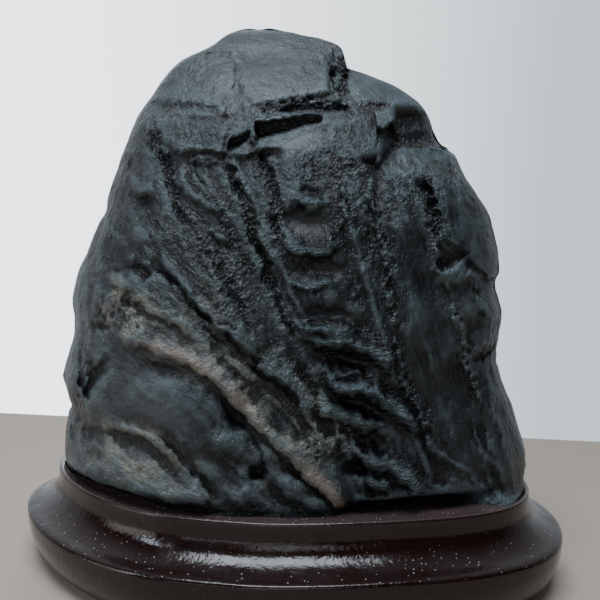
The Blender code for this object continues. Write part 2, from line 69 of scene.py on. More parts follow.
COVE_STEPS = 44
TOP_STEPS = 8
RECESS_EDGE_Z = 35.7
RECESS_FLOOR_Z = 30.0
RECESS_CLEARANCE = 0.4
STAND_COLUMNS = 520
STAND_FRONT_COLUMNS = 320
SHARP_EDGE = math.radians(42)

# Stone: overall height above the table and the seat in the recess.
SUMMIT_Z = 227.5
SEAT_GAP = 0.3
SEAT_TOP_Z = 36.4
UNDERCUT_HEIGHT = 6.0
UNDERCUT_POWER = 1.5
FOOT_CENTRE = np.array((1.5, 2.0))
FOOT_OUTLINE = (
    (-98.5, 2), (-97.7, -9.6), (-88.5, -21.8), (-71, -32.4), (-49.8, -43.2), (-34.2, -53.6),
    (-22.2, -56.2), (-11, -57), (-0.6, -55.3), (13.5, -53.8), (24, -51.2), (28, -47),
    (29.6, -36), (35.9, -25.4), (45.7, -24.9), (64.7, -28), (79.3, -30.7), (90.2, -30.8),
    (96.7, -19.4), (100.8, -7.5), (101, 10), (94, 27), (78, 41), (55, 50), (25, 54),
    (-5, 55), (-35, 52), (-62, 45), (-83, 33), (-95, 17),
)

# Outline of the stone on the sheet, from the stand up to the summit, as U and W.
SUMMIT_UW = (-16.0, 108.9)
LEFT_OUTLINE = (
    (-93.3, -78), (-93.3, -65), (-93.3, -58), (-92.4, -48), (-91.8, -43.5), (-90.5, -41),
    (-92.2, -35.5), (-93.8, -29), (-93.4, -25), (-91.8, -19), (-89.4, -10), (-89.4, -7),
    (-90.4, 0), (-88.6, 9), (-84.2, 20), (-80.2, 30), (-77.4, 34.5), (-76.0, 41), (-73.2, 50),
    (-69.8, 60), (-67.4, 66), (-63.0, 75), (-59.6, 79), (-55.8, 85), (-52.5, 90), (-47.0, 95),
    (-39.0, 99), (-35.2, 101.3), (-31.0, 105), (-25.0, 107.8),
)
RIGHT_OUTLINE = (
    (85.0, -86), (87.0, -78), (89.6, -72), (90.2, -68), (90.0, -64), (88.5, -57), (86.0, -48.5),
    (83.0, -39), (79.5, -29), (78.0, -23), (78.6, -16), (80.0, -5), (79.0, 0), (77.4, 6),
    (77.5, 8), (79.0, 11), (79.2, 17), (77.5, 24), (75.0, 34), (71.0, 41), (65.0, 51.3),
    (61.4, 58.2), (57.5, 60.2), (54.5, 64), (53.0, 68), (50.0, 75.3), (45.0, 80.7),
    (37.0, 85.8), (30.0, 88), (24.0, 90.5), (19.4, 92.3), (18.4, 96), (17.2, 100), (14.0, 102.4),
    (8.0, 104.7), (0.0, 106.1), (-8.0, 107.9),
)

# How far back that outline lies: W and y.
SIDE_DEPTH = ((-90, -8), (40, -3), (75, -6), (92, -10), (104, -9), (109, -1))

# Front-most and back-most points of the sections: height, x, y.
FRONT_LINE = (
    (30, -8, -56), (60, -6, -58), (90, -2, -58), (115, 0, -56.5), (140, 0, -52.5), (160, -2, -47),
    (178, -4, -40.5), (192, -8, -32.5), (206, -10, -22), (217, -12, -13), (223, -13, -5.5),
    (226, -14, 1),
)
BACK_LINE = (
    (30, 0, 55), (70, 2, 60), (105, 2, 58), (140, 0, 52), (170, -2, 45.5), (195, -6, 38),
    (208, -10, 33), (218, -12, 26.5), (223, -13, 20.5), (226, -14, 13.5),
)
SUMMIT_Y = 5.0

# Rows of the outline that are nearer to the summit's height than this are left to its rounding.
TOP_GAP = 0.2

# Fullness of the sections' rounding, and how closely their sides follow the eye's line of sight.
FRONT_FULLNESS = 2.35
BACK_FULLNESS = 2.25
SIGHT_SHARE = np.array((0.8, 1.0))

# Grid of the stone's fine surface: columns round it and levels up it, how soon the levels crowd
# below the summit, and how much the front's columns crowd at its middle.
STONE_COLUMNS = 425
STONE_FRONT_COLUMNS = 318
STONE_LEVELS = 235
TOP_ROUNDING = 0.08
FRONT_CROWDING = 0.15

# Lines on the sheet that several tables use, as U, W pairs.
LEFT_FURROW = (-58, 72, -58, 66, -57, 60, -54, 54, -51, 48, -49, 42, -47, 35, -43, 30)
UPPER_RIDGE = (-76, -14, -64, -16.5, -52, -20.5, -42, -25, -34, -30, -27, -37, -20, -45)
LOWER_RIDGE = (-20, -45, -12, -54, -4, -61, 4, -67.5, 9, -74, 14, -80, 17, -86)
MAIN_VEIN = (28, 49, 28, 41, 30, 34, 31, 26, 33, 20, 36, 11, 36, 3, 36, -7, 37.5, -13)
LOWER_VEIN = (37.5, -13, 39, -18, 42, -32, 45, -38, 48, -45, 50, -51, 53, -60)
MIDDLE_VEIN = (15, 50, 17, 44, 18, 34, 16, 30, 13, 27, 12, 24, 14, 20)

# Relief of the front, on the sheet. A line is its height (below 0 for a furrow), its half width
# and the bent line as U, W pairs. Cracks are box-shaped slots.
CRACKS = (
    (-2.2, 0.9, (-52, 59, -52, 53.5)),
    (-1.8, 1.0, (-50, 8, -45, 0, -40, -5, -34.5, -8.8)),
    (-1.0, 0.6, (-34.5, -8.8, -28, -10, -25, -12)),
    (-1.3, 0.9, (-38, -10.5, -33, -15.5, -29, -17.5)),
    (-1.5, 1.0, (-30, -13.5, -25, -18, -21, -22, -16, -25.5)),
    (-1.6, 1.0, (-20, -27, -14, -30.5, -9, -33.5, -4, -38)),
    (-1.3, 0.9, (-7, -35, -4, -39, 0, -43)),
    (-1.0, 0.7, (-9, -43, -3, -49, 2, -57)),
    (-1.6, 1.5, (-31, -37, -29, -43, -22, -50, -16, -55, -11, -59, -6, -63.5)),
    (-3.0, 1.4, (-6, -63.5, -1, -69, 4, -74, 9, -79, 14, -85)),
    (-1.2, 1.0, (-57, -56, -50, -60, -45, -66, -40, -71, -35, -80)),
    (-1.7, 1.0, (66, 17, 72, 10, 77, 7)),
    (-1.6, 0.9, (71, -23.5, 77, -18)),
    (-1.4, 0.8, (-18, -56, -15, -63, -16, -67)),
    (-1.3, 0.8, (-37, 45, -41, 50, -43, 55)),
)

# Soft furrows and ridges.
FURROWS = (
    (1.2, 1.6, (-55, 18, -50, 11, -46, 4, -43, -1)),
    (1.2, 2.8, (-79, 11, -72, 7, -66, 3, -62, -3, -56, -6, -48, -9, -43, -14)),
    (-1.3, 1.2, (-63, -5, -56, -8.6, -48, -11.5)),
    (0.5, 3.0, UPPER_RIDGE),
    (0.5, 2.6, LOWER_RIDGE),
    (-1.2, 5.0, (-40, -14, -25, -26, -10, -42, 5, -58)),
    (-4.2, 3.4, (-79, -23, -83.5, -31, -87, -41)),
    (-1.1, 1.6, (-82, 12, -84, 3, -86, -4)),
    (0.6, 1.6, (-76, -49, -63, -53, -55, -58, -48, -63, -42, -69, -38, -76, -33, -83)),
    (-3.2, 2.4, (-86, -69, -76, -74, -64, -80, -54, -83)),
    (-2.2, 2.0, LEFT_FURROW),
    (2.1, 1.9, (-49, 57, -47, 49, -43.5, 43, -38, 39, -31, 35)),
    (1.3, 0.9, (-37, 29, -32, 25.5, -28, 23)),
    (-1.5, 1.3, (-35, 26.5, -31, 22.5, -26, 19.5)),
    (1.2, 2.2, (-70, 52, -64, 45, -58, 42)),
    (-2.4, 2.0, (-31, 57, -27, 51, -25, 47, -22, 41, -20, 31, -18, 25, -13, 17, -13, 10, -9, 0)),
    (-2.2, 1.8, (-17, 60, -15, 55, -12, 47, -10, 40, -9, 31, -7, 22)),
    (-1.6, 1.6, (-9, 0, -6, -8, -3, -16)),
    (-2.2, 2.4, (47.5, 49, 50, 44, 52, 38, 53, 32, 54.5, 26)),
    (-1.0, 0.9, (62, 9, 68, 13.5)),
    (1.1, 0.9, (54, 22, 57, 17, 57, 9, 60, 3)),
    (1.1, 1.0, (66, -17.5, 70, -19.5, 76, -18)),
    (1.0, 1.0, (50, -53, 53, -60, 60, -64, 70, -70)),
    (1.0, 1.0, (68, -46, 70, -54, 73, -61, 78, -66, 81, -68)),
    (0.8, 0.8, (75, -54, 78, -63)),
    (0.8, 0.9, (49, -71, 54, -75, 59, -78)),
    (0.8, 0.8, (60, -72, 66, -74)),
    (0.9, 0.9, (69, -71, 75, -75)),
    (1.5, 1.1, (-43, 56.4, -34, 57.6)),
    (-1.3, 1.5, (-62, 78, -52, 78, -40, 77, -30, 74.5)),
    (-0.9, 1.1, (-27, 97, -25, 88, -24, 80, -23, 73)),
)

# Raised veins of rough beads.
VEINS = (
    (2.0, 1.4, MAIN_VEIN),
    (2.0, 1.4, LOWER_VEIN),
    (1.0, 1.0, (43, -22, 44, -32)),
    (1.6, 1.3, MIDDLE_VEIN),
    (1.9, 1.4, (60, -1, 62, -6, 64, -12, 66, -19, 66, -24, 67, -28, 69, -32, 73, -42)),
    (0.8, 0.8, (19, 35, 16, 30)),
    (0.7, 0.8, (28, 14, 25, 11)),
    (0.7, 0.8, (26, 6.5, 20, 0)),
    (1.2, 1.6, (47, 55, 48, 50, 51, 46)),
    (1.0, 1.2, (20, 62, 24, 57, 27, 52)),
    (0.9, 1.0, (18, 51.2, 26, 52.2)),
)

# Ripple crests from left to right: the upper side falls away gently, the lower side is undercut.
RIPPLES = (
    (1.1, 0.9, (0, 39, 5, 38.6, 9.5, 39.5)),
    (2.0, 1.1, (-5, 21.5, 0, 19, 6, 18.7, 11, 18.7, 14, 20)),
    (1.1, 0.9, (-3, 6.8, 3, 5, 8, 6.5, 13, 6.5)),
    (2.9, 1.2, (1, -11.5, 8, -13, 15, -14, 21, -13.5)),
    (3.3, 1.3, (5, -17, 12, -18.7, 19, -18.3, 27, -20, 32, -23.5, 34, -27)),
    (1.0, 0.8, (13, -27, 17, -29, 24, -28.4, 26, -29.6)),
    (4.0, 1.4, (11, -28, 13, -33, 17, -34.5, 24, -36, 29, -37, 34, -40.5, 39, -44.5, 46, -51)),
    (3.3, 1.3, (8, -44, 14, -46.5, 20, -48, 26, -50, 31, -50)),
    (1.8, 1.1, (21, -50.5, 26, -53, 30, -51)),
    (3.5, 1.4, (22, -61, 27, -64.5, 31, -67, 37, -66.3, 41, -70, 45, -75, 47, -79)),
    (1.8, 1.0, (26, -71, 30, -74, 34, -74, 36, -72)),
)
RIPPLE_UPPER_REACH = 2.4

# Steps: height, crispness, reach and the edge. The side on the left hand of someone who walks
# along the edge is the one that stands forward.
STEPS = (
    (2.4, 0.6, 22, (-53, 60, -44, 59.7, -35, 59.3, -28, 59.8)),
    (3.0, 2.2, 26, (72, 50, 62, 52.4, 50, 52.4, 38, 53, 30, 55)),
    (2.4, 1.3, 13, (-76, -16, -64, -18.5, -52, -22.5, -42, -27, -35, -32, -29, -39, -22, -47)),
    (2.2, 1.0, 11, (-26, -43, -14, -55.5, -6, -62.5, 2, -69, 7, -75, 12, -81, 15, -87)),
    (2.0, 3.8, 30, (30, 61, 10, 63, -17, 60.5)),
    (1.8, 0.8, 14, (-33, -83, -38, -76, -42, -69, -48, -63, -55, -58, -63, -53, -76, -49)),
    (2.0, 0.8, 9, (-52, 10, -46, 1, -40, -5, -35, -9.5, -29, -15, -24, -19, -19, -26)),
    (2.0, 0.8, 8, (-20, -27.5, -14, -31, -8, -34.5, -4, -39.5, 0, -44, 5, -49)),
)

# Facets: flat faces cut into the front. Each is the height at its middle, how much it gains for
# each millimetre to the right and up, how soft its edges are, and its convex outline.
FACETS = (
    (1.5, -1.2, 0.2, 0.8, (13.5, 99, 18.5, 99.5, 19.5, 92, 18.5, 83, 15, 80, 13.5, 86)),
    (-1.8, 0.0, 0.8, 0.7, (-8, 76, -2, 79, 4, 80.3, 14, 80, 20, 76.8, 18, 76, -4, 74.8)),
    (0.8, 0.0, -0.25, 1.5, (-17.5, 64.5, -8, 66.4, 8.5, 71, 12, 71, 9, 60.5, -16, 59.5)),
    (-4.2, 0.0, 0.3, 0.4, (-17.6, 64.8, -17.6, 70.6, 8.8, 74.7, 8.2, 71.4, -8.8, 66.7)),
    (-3.0, 0.0, 0.3, 0.4, (-28.8, 60.2, -27.6, 64.2, -18.5, 68.3, -21.5, 63.8)),
    (2.2, 0.05, -0.1, 1.6, (9, 60.5, 12, 72, 28, 74.5, 31.5, 66, 31, 58, 20, 56)),
    (-0.6, 0.0, -0.5, 0.8, (38, 61.3, 62, 60.8, 73, 50, 57, 51, 40, 52.5, 34, 54, 35, 58)),
    (-5.0, 0.0, 0.35, 0.5, (38.8, 74, 48.5, 75, 62, 72, 64, 61.2, 38.5, 61.2)),
    (-1.8, 0.0, 1.2, 0.5, (37.5, 77.4, 45, 77.2, 48, 74.4, 38.8, 73)),
    (5.2, -0.1, -0.3, 0.8, (29.5, 75.5, 36, 77, 38.5, 72, 33.5, 67.5, 30.5, 69)),
    (-0.6, -1.3, 0.1, 0.5, (32, 66, 37.5, 70.5, 38.8, 64, 37.5, 60.5, 33.5, 55.5, 30.5, 55, 31, 60)),
    (-2.6, 0.0, 0.35, 0.6, (55.5, 25.5, 69.5, 18, 63, 14.5, 58, 9.5, 56, 13)),
    (-1.4, -0.1, 0.4, 0.8, (-72.5, 15, -67, 18, -58.5, 10, -62, 7.5)),
    (-1.4, -0.1, 0.35, 0.8, (-62, 20.5, -57.5, 18, -48.5, 6.5, -52, 6, -59, 13)),
    (-1.4, 0.15, 0.1, 0.9, (-86, -12, -81, -17, -74.5, -26, -86, -38, -89, -33, -88, -20)),
    (-1.4, 0.0, 0.4, 0.8, (50, -79, 87, -77.5, 88, -84, 52, -87)),
    (1.3, -0.06, -0.12, 1.4, (-64, 75.5, -30, 72.5, -31, 63, -50, 62, -60, 66)),
    (1.2, 0.05, -0.12, 1.6, (-24, 100, 2, 101, 12, 97, 12, 83, -4, 80.5, -18, 78, -22, 82)),
    (0.8, 0.0, -0.6, 0.5, (-45, 55.5, -42, 57.8, -33, 58.2, -31.5, 56, -37, 54.5)),
    (1.0, 0.0, -0.6, 0.5, (-29, 58.5, -27, 61, -20, 62.8, -17.5, 60, -21, 58)),
    (1.2, 0.0, -0.22, 1.2,
     (-93, -50, -74, -52, -61, -56, -49, -65, -41, -74, -37, -84, -60, -81, -86, -69)),
    (0.8, 0.0, -0.25, 1.8,
     (19.5, 91.5, 30, 88.5, 37, 86, 44, 81.5, 47.5, 78, 38, 77.5, 24, 79.5, 19.2, 84)),
    (-0.6, 0.0, 0.3, 1.2, (-92, -70, -75, -76, -62, -81, -50, -85, -60, -90, -93, -84)),
)

# Lumps (height above 0) and hollows (below 0): height, U, W, half length, half width, turn.
LUMPS = (
    (2.6, 65, 10, 6.5, 3.6, 25),
    (-1.8, 49.5, 46.7, 2.0, 1.2, -60), (-1.5, 52, 43.8, 1.5, 1.0, 0), (-1.8, 52, 38.5, 2.2, 1.1, 70),
    (-1.6, 54.5, 34, 1.6, 1.1, 0), (-1.8, 51, 30, 2.0, 1.2, 30), (-1.4, 53.2, 27.2, 1.5, 1.2, 0),
    (0.9, 44, 67.5, 4.0, 1.5, 10), (0.9, 50, 67.5, 2.6, 1.6, -20), (-0.9, 47.5, 64.5, 3.2, 1.0, 15),
    (-2.2, 1, 32.5, 9, 4.2, 0), (-2.0, 9, 12, 9, 4.0, 0), (-2.5, 12, -6.5, 10.5, 4.8, 0),
    (-2.6, 18, -24.5, 9.5, 4.0, -6), (-1.0, 20, -31, 6, 1.6, 0), (-2.6, 29, -56.5, 9.5, 3.6, -20),
    (-2.4, 24, -42.4, 11, 2.6, -22), (-5.0, 22.4, -67, 4.6, 2.8, 0), (-3.2, 31, -77, 7, 1.9, -4),
    (-2.4, 30, -69, 3.6, 1.3, -25),
    (-1.6, 5, 43, 5, 2.2, 0), (-1.4, -40, 32.5, 6.5, 5, -42), (-1.4, -62, 40, 6, 3.0, -10),
    (-3.4, -26, -47, 5.2, 3.6, -40), (4.6, -53, -42, 21, 16, -20), (-2.6, -54.5, -28, 7.2, 2.6, -10),
    (3.0, -89, -28, 4.5, 9, 0), (1.6, -84, 1, 5, 8, 0), (-1.8, -79.5, -11.6, 5.2, 1.9, 0),
    (-1.1, -70, -1, 1.8, 1.4, 0), (-1.1, -66.5, -2, 1.4, 1.2, 0), (0.9, -75.5, 2, 2.2, 1.8, 0),
    (1.6, -36, -68, 6, 3.4, -28), (2.0, -27, -57.5, 6.5, 4, -28), (1.6, -12, -62, 4, 3, -30),
    (2.6, -3, -75, 6, 5, -20), (-4.6, -17, -69, 3.4, 3.4, 0), (1.6, -24, -79, 5, 3.6, 0),
    (1.8, 8, -83, 5.5, 4, 0), (1.6, 72, -2, 7, 8, 0), (2.0, 69, 28, 8, 7, 0), (1.6, 65, 44, 8, 5, 0),
    (-1.8, 70.5, -23.5, 2.6, 1.5, 0), (-1.6, 70, 3, 1.9, 1.5, 0), (-1.6, 73, -6, 1.9, 1.5, 0),
    (-1.6, 70, -10, 6.5, 3, 0), (-1.4, 61, -35, 9, 8, 0), (1.4, 47, -5, 8, 9, 0),
    (-1.3, 39, -38, 5, 3.0, -20), (1.4, 22, -4, 5, 3.5, 0), (1.2, 42, 30, 7, 6, 0),
    (1.3, -20, 44, 4.5, 12, 0), (1.2, -4, 47, 4.5, 9, 0), (1.6, -64, 26, 5, 4, 0),
    (2.2, -70, -66, 16, 8, -25), (-1.6, -11, 58.5, 4.6, 2.0, 0), (0.9, -11, 55.8, 4.4, 0.9, 0),
    (-1.0, -36, 98, 1.8, 1.2, 30), (-1.0, -29.5, 98, 2.4, 1.1, 20), (-1.1, -29.5, 73.7, 3.6, 0.9, 0),
    (1.8, -18.6, 67, 1.5, 4.2, 0), (1.3, 34, 72.5, 3.6, 3.2, 20), (1.2, -64, 47, 5, 3.5, 0),
    (-1.0, -62, 40, 4, 2.4, -15), (1.6, 13, -57, 7, 4.5, 0),
)

# Where the surface is rough with pits: strength, half width and line, then strength, U, W,
# half length, half width and turn of patches.
PITTED_LINES = (
    (1.0, 3.2, (-31, 57, -27, 51, -25, 47, -22, 42, -22.5, 38, -20, 31, -18, 25, -13, 17, -13, 10)),
    (1.0, 3.0, (-13, 10, -11, 4, -7, -2, -5, -10, -3, -14)),
    (1.0, 2.8, (-17, 60, -15, 55, -13, 50, -11, 45, -10, 40, -9.5, 33, -8.5, 27, -7, 22)),
    (1.0, 2.6, MAIN_VEIN),
    (1.0, 2.6, LOWER_VEIN),
    (1.0, 2.8, MIDDLE_VEIN),
    (1.0, 3.4, (47, 55, 49.5, 47, 52, 38, 53, 32, 54.5, 26, 57, 16, 58, 9)),
    (0.9, 2.4, (60, -1, 62, -6, 64, -12, 66, -19, 66, -24, 69, -32, 73, -42)),
    (1.0, 2.4, (-17, 74, -12, 77, -4, 78.5, 4, 79.5, 14, 79, 20, 75.6)),
    (1.0, 2.8, LEFT_FURROW),
    (0.9, 2.6, (16.5, 99, 16.5, 90, 17, 82)),
    (0.8, 3.0, (-43, 30, -36, 20, -30, 10, -24, 2, -18, -8)),
    (0.7, 2.4, (-36, 44, -32, 34, -27, 24, -22, 12)),
)
PITTED_SPOTS = (
    (0.8, 20, 53.5, 9, 4.0, 0), (0.4, 20, 64, 10, 8, 0), (1.0, 13, -57, 13, 6.5, 0),
    (0.6, 0, -33, 9, 13, 0), (0.5, -32, -1, 9, 8, -30), (0.8, -18.5, 67, 2.5, 5, 0),
    (0.4, 41, 45, 6, 8, 0), (0.35, -30, 15, 14, 10, -40), (0.7, -70, -4, 9, 9, 0),
    (0.4, 4, 50, 5, 5, 0), (0.4, -12, -24, 10, 7, -40), (0.5, 40, 65, 4, 4, 0),
)

# Where the surface is smooth to the hand: strength, then U, W and sizes of each patch.
SMOOTH_SPOTS = (
    (0.8, -53, -42, 19, 13, -20), (0.6, -36, -68, 12, 8, -28), (0.6, 68, 30, 10, 16, 0),
    (0.9, -15, 93, 42, 20, 0), (0.8, 34, 84, 18, 8, -25), (0.8, 0, 63.5, 14, 4, 12),
    (0.8, 48, 57, 13, 4, 0), (1.0, 1, 31, 10, 5, 0), (1.0, 9, 11, 10, 4.5, 0),
    (1.0, 12, -7, 11, 5, 0), (1.0, 19, -24.5, 10, 4, -6), (0.9, 26, -42, 11, 3, -22),
    (0.9, 30, -56, 9, 3.5, -20), (0.4, 50, 0, 10, 30, 0), (0.5, 58, -38, 8, 8, 0),
)

# Paler and darker parts of the stone's colour: mostly its own, but the darker patches in the ripple
# hollows and in the notch's recess and flank are painted shade, and the paler ones on the slab's top
# and the shelf, which face up, are painted light. Strength, then U, W and sizes of each patch.
TONE_AND_PAINTED_LIGHT_SPOTS = (
    (0.35, -15, 90, 45, 22, 0), (0.7, -45, 80, 14, 12, 0), (-0.15, -6, 102, 22, 6, 0),
    (-0.5, -38, 28, 28, 32, 0), (-0.5, -66, 22, 16, 32, 0), (0.3, 6, -46, 9, 22, 25),
    (0.5, 28, -46, 16, 24, 20), (0.25, 2, 48, 14, 8, 0), (0.7, 34, 84, 18, 9, -25),
    (0.25, 0, 64, 18, 5, 12), (0.35, -54, -42, 24, 16, -20), (0.9, -72, -68, 26, 16, -25),
    (0.35, -30, -68, 16, 10, -35), (0.7, -36, -26, 20, 8, -40), (0.4, -82, -4, 10, 26, 0),
    (-0.4, 14, 0, 17, 40, 8), (-0.2, 22, -22, 14, 12, 0), (0.7, 13, -57, 10, 6, 0),
    (-0.3, 2, 31, 9, 4, 0), (-0.3, 9, 11, 9, 4, 0), (-0.3, 12, -8, 10, 4, 0),
    (-0.3, 19, -24.5, 9, 3.5, -6), (-0.3, 26, -42, 10, 2.6, -22), (-0.3, 30, -56, 8, 3, -20),
    (-0.8, 44, 68, 8, 6, 0), (-0.8, 35, 62, 3.5, 6, 0), (-0.15, 36, 20, 30, 30, 0),
    (-0.3, 52, -48, 24, 26, 0), (-0.15, -8, 20, 20, 18, -50), (0.2, 68, 20, 10, 30, 0),
    (0.9, 48, 56, 14, 5, 0), (-0.15, -50, 52, 14, 30, 0),
)

# Stains: a tan, earthy one along the valley and low on the left, and a pinkish one on the vein.
TAN_LINES = (
    (0.5, 10.0, (-72, -4, -56, -8, -44, -18, -30, -28, -16, -42, -4, -56, 6, -68)),
    (0.6, 5.0, UPPER_RIDGE),
    (0.6, 4.5, LOWER_RIDGE),
    (0.6, 3.0, (-79, 11, -72, 7, -66, 3, -62, -3, -54, -6.5, -44, -12)),
    (0.6, 2.6, (-76, -49, -62, -53, -55, -58, -48, -63, -42, -69, -38, -76, -33, -83)),
)
TAN_SPOTS = (
    (0.9, -70, -6, 10, 10, 0), (0.95, -64, -66, 26, 13, -28), (0.4, -30, -20, 20, 9, -40),
    (1.0, 13, -57, 13, 7, 0), (0.7, 4, -44, 8, 20, 25), (0.35, -40, 0, 12, 9, 0),
    (0.4, -8, -76, 16, 9, 0), (0.3, 20, 70, 12, 8, 0),
)
PINK_LINES = (
    (1.0, 2.0, (-64, -16.5, -52, -20.5, -42, -25, -34, -30, -27, -37, -20, -45, -12, -54)),
    (0.9, 2.2, (-4, -61, 4, -67.5, 9, -74, 14, -80, 17, -86)),
    (0.5, 1.2, (-75.5, 2, -72, 4)),
)

# Ribs: height where they start and how far they fall, how far they lean on the left and on the
# right, and where left turns to right; the share of them on the cap, and between which W it
# grows to the whole; how much a smooth patch calms them.
RIBS_TOP_W = 60.0
RIBS_HEIGHT = 120.0
LEFT_LEAN = 67.0
RIGHT_LEAN = 25.0
LEAN_TURN = (-50.0, 20.0)
LEAN_TURN_RUN = 45.0
CAP_RIB_SHARE = 0.25
CAP_RIB_FADE = (62.0, 55.0)
SMOOTH_CALM = 0.6

# The valley's upper edge, its softness, and the direction in which the ribs below it run.
VALLEY_EDGE = (
    -95, 8, -74, 12, -60, 13, -50, 8, -40, -5, -29, -15, -20, -27, -4, -39, 5, -50, 14, -66, 20, -90,
)
VALLEY_SOFTNESS = 4.0
VALLEY_RUN = (0.76, 0.65)

# Layers of ribs: spacing, how much longer than wide, height and seed.
RIB_LAYERS = ((11.0, 5.0, 1.4, 211), (5.0, 5.0, 0.6, 223), (2.8, 4.0, 0.25, 227))

# Roundness of the cross-section of each kind: higher is flatter, with steeper sides.
CRACK_ROUNDNESS = 4.0
LINE_ROUNDNESS = 2.2
LUMP_ROUNDNESS = 1.3

# Farther than any two places on the sheet.
FAR = 1e9

# Uneven edges: how far noise of that length pushes the lines about on the sheet, the share of
# it that facets get, and how much lines vary in width and height.
WANDER = 1.1
WANDER_LENGTH = 9.0
FRAY = 0.9
FRAY_LENGTH = 2.4
FACET_WANDER = 0.35
UNEVENNESS = 0.45
UNEVENNESS_LENGTH = 9.0

# The sides and the back: bent strata that dip to the right, as on the front, broad swells and
# lumps, ribs that go on round from the front, and thin veins.
STRATA_SPACING = 21.0
STRATA_DEPTH = 2.2
STRATA_DIP = np.array((0.55, 0.30, 0.78))
STRATA_BEND = 2.6
BEHIND_RIBS = 1.2
BACK_SWELL = 1.7
BACK_SWELL_LENGTH = 46.0
LUMP_SWELL = 0.6
LUMP_SWELL_LENGTH = 19.0
UPTURN_Z = 140.0
VEIN_HEIGHT_BEHIND = 0.9
VEIN_SWELLS_BEHIND = ((0.45, 38.0, 51, 0.09), (0.4, 47.0, 53, 0.07))

# Where the front's relief gives way to that of the sides, as the sine of the angle round the
# stone, and how far noise moves that place.
FRONT_FADE = (0.14, -0.2)
BEHIND_FADE = (-0.1, 0.6)
EDGE_WANDER = 0.1
EDGE_WANDER_LENGTH = 28.0

# Heights over which relief dies away above the seat and below the summit.
SEAT_FADE = 5.0
FRONT_TOP_FADE = 9.0
BEHIND_TOP_FADE = 26.0
GRAIN_SEAT_FADE = 2.0
GRAIN_TOP_FADE = (1.0, 9.0)

# Roughness of the whole surface: height and length of its undulation, grain and pits.
UNDULATION = 0.4
UNDULATION_LENGTH = 11.0
GRAIN = 0.22
GRAIN_LENGTH = 3.4
PIT_DEPTH = 1.0
PIT_SPACING = 2.5
PITTED_PATCH_LENGTH = 24.0

# Beads of the raised veins: length, mean height and how much it varies.
BEAD_LENGTH = 2.2
BEAD_LEVEL = 0.75
BEAD_SWING = 1.1

# Masks: lengths of the stains' clouds, how much a millimetre of prominence counts over so many
# steps of the grid, and how much paler the crests of veins and ripples are. Prominence paints
# hollows darker, which is painted shade, and edges and crests paler, partly real wear and partly
# painted highlight.
STAIN_CLOUD_LENGTH = 7.0
STAIN_LENGTH_BEHIND = 40.0
PROMINENCES = ((0.55, 2), (0.35, 6))
VEIN_CREST = 0.05
RIPPLE_CREST = 0.12


def smoothstep(low, high, value):
    """Soft switch from 0 at low to 1 at high."""
    share = np.clip((value - low) / (high - low), 0.0, 1.0)
    return share * share * (3.0 - 2.0 * share)


def smooth_table(keys, values, wanted):
    """Cubic through a table that never overshoots: each knot's slope is the harmonic mean."""
    keys = np.asarray(keys, dtype=float)
    values = np.asarray(values, dtype=float)
    spans = np.diff(keys)
    slopes = np.diff(values) / spans
    product = slopes[1:] * slopes[:-1]
    total = np.where(product > 0, slopes[1:] + slopes[:-1], 1.0)
    inner = np.where(product > 0, 2.0 * product / total, 0.0)
    tangents = np.concatenate((slopes[:1], inner, slopes[-1:]))
    index = np.clip(np.searchsorted(keys, wanted) - 1, 0, len(spans) - 1)
    t = (wanted - keys[index]) / spans[index]
    start = values[index] * (1 + 2 * t) * (1 - t) ** 2 + tangents[index] * spans[index] * t * (1 - t) ** 2
    end = values[index + 1] * t * t * (3 - 2 * t) + tangents[index + 1] * spans[index] * t * t * (t - 1)
    return start + end


def eye_axes():
    """Right, up and forward directions of the viewer's eye, with its small roll."""
    sin_turn, cos_turn = math.sin(EYE_TURN), math.cos(EYE_TURN)
    sin_tilt, cos_tilt = math.sin(EYE_TILT), math.cos(EYE_TILT)
    forward = np.array((-sin_turn * cos_tilt, cos_turn * cos_tilt, -sin_tilt))
    level = np.array((cos_turn, sin_turn, 0.0))
    upright = np.cross(level, forward)
    right = math.cos(EYE_ROLL) * level + math.sin(EYE_ROLL) * upright
    up = math.cos(EYE_ROLL) * upright - math.sin(EYE_ROLL) * level
    return right, up, forward


def from_sheet(u, w, y):
    """Point at depth y that the eye sees at U, W on the sheet."""
    right, up, forward = eye_axes()
    ray = SHEET_DISTANCE * forward + u * right + w * up
    return EYE + ray * (y - EYE[1]) / ray[1]


def to_sheet(points):
    """U, W and depth of points, as the eye sees them on the sheet."""
    right, up, forward = eye_axes()
    offset = points - EYE
    depth = offset @ forward
    return SHEET_DISTANCE * (offset @ right) / depth, SHEET_DISTANCE * (offset @ up) / depth, depth


def summit():
    """Highest point of the stone."""
    top = from_sheet(*SUMMIT_UW, SUMMIT_Y)
    return np.array((top[0], SUMMIT_Y, SUMMIT_Z))


def side_line(outline):
    """Side of the stone as heights, x and y, from its outline on the sheet."""
    keys, depths = zip(*SIDE_DEPTH)
    rows = [from_sheet(u, w, smooth_table(keys, depths, w)) for u, w in outline]
    top = summit()
    rows = sorted((row for row in rows if row[2] < SUMMIT_Z - TOP_GAP), key=lambda row: row[2])
    return [(row[2], row[0], row[1]) for row in rows] + [(top[2], top[0], top[1])]


def line_at(line, z):
    """Place on a line of heights, x and y at each height, smooth over the rounded top."""
    heights = np.array([row[0] for row in line], dtype=float)
    keys = -np.sqrt(np.maximum(SUMMIT_Z - heights, 0.0))
    wanted = -np.sqrt(np.maximum(SUMMIT_Z - z, 0.0))
    x = smooth_table(keys, [row[1] for row in line], wanted)
    y = smooth_table(keys, [row[2] for row in line], wanted)
    return np.stack((x, y), axis=-1)


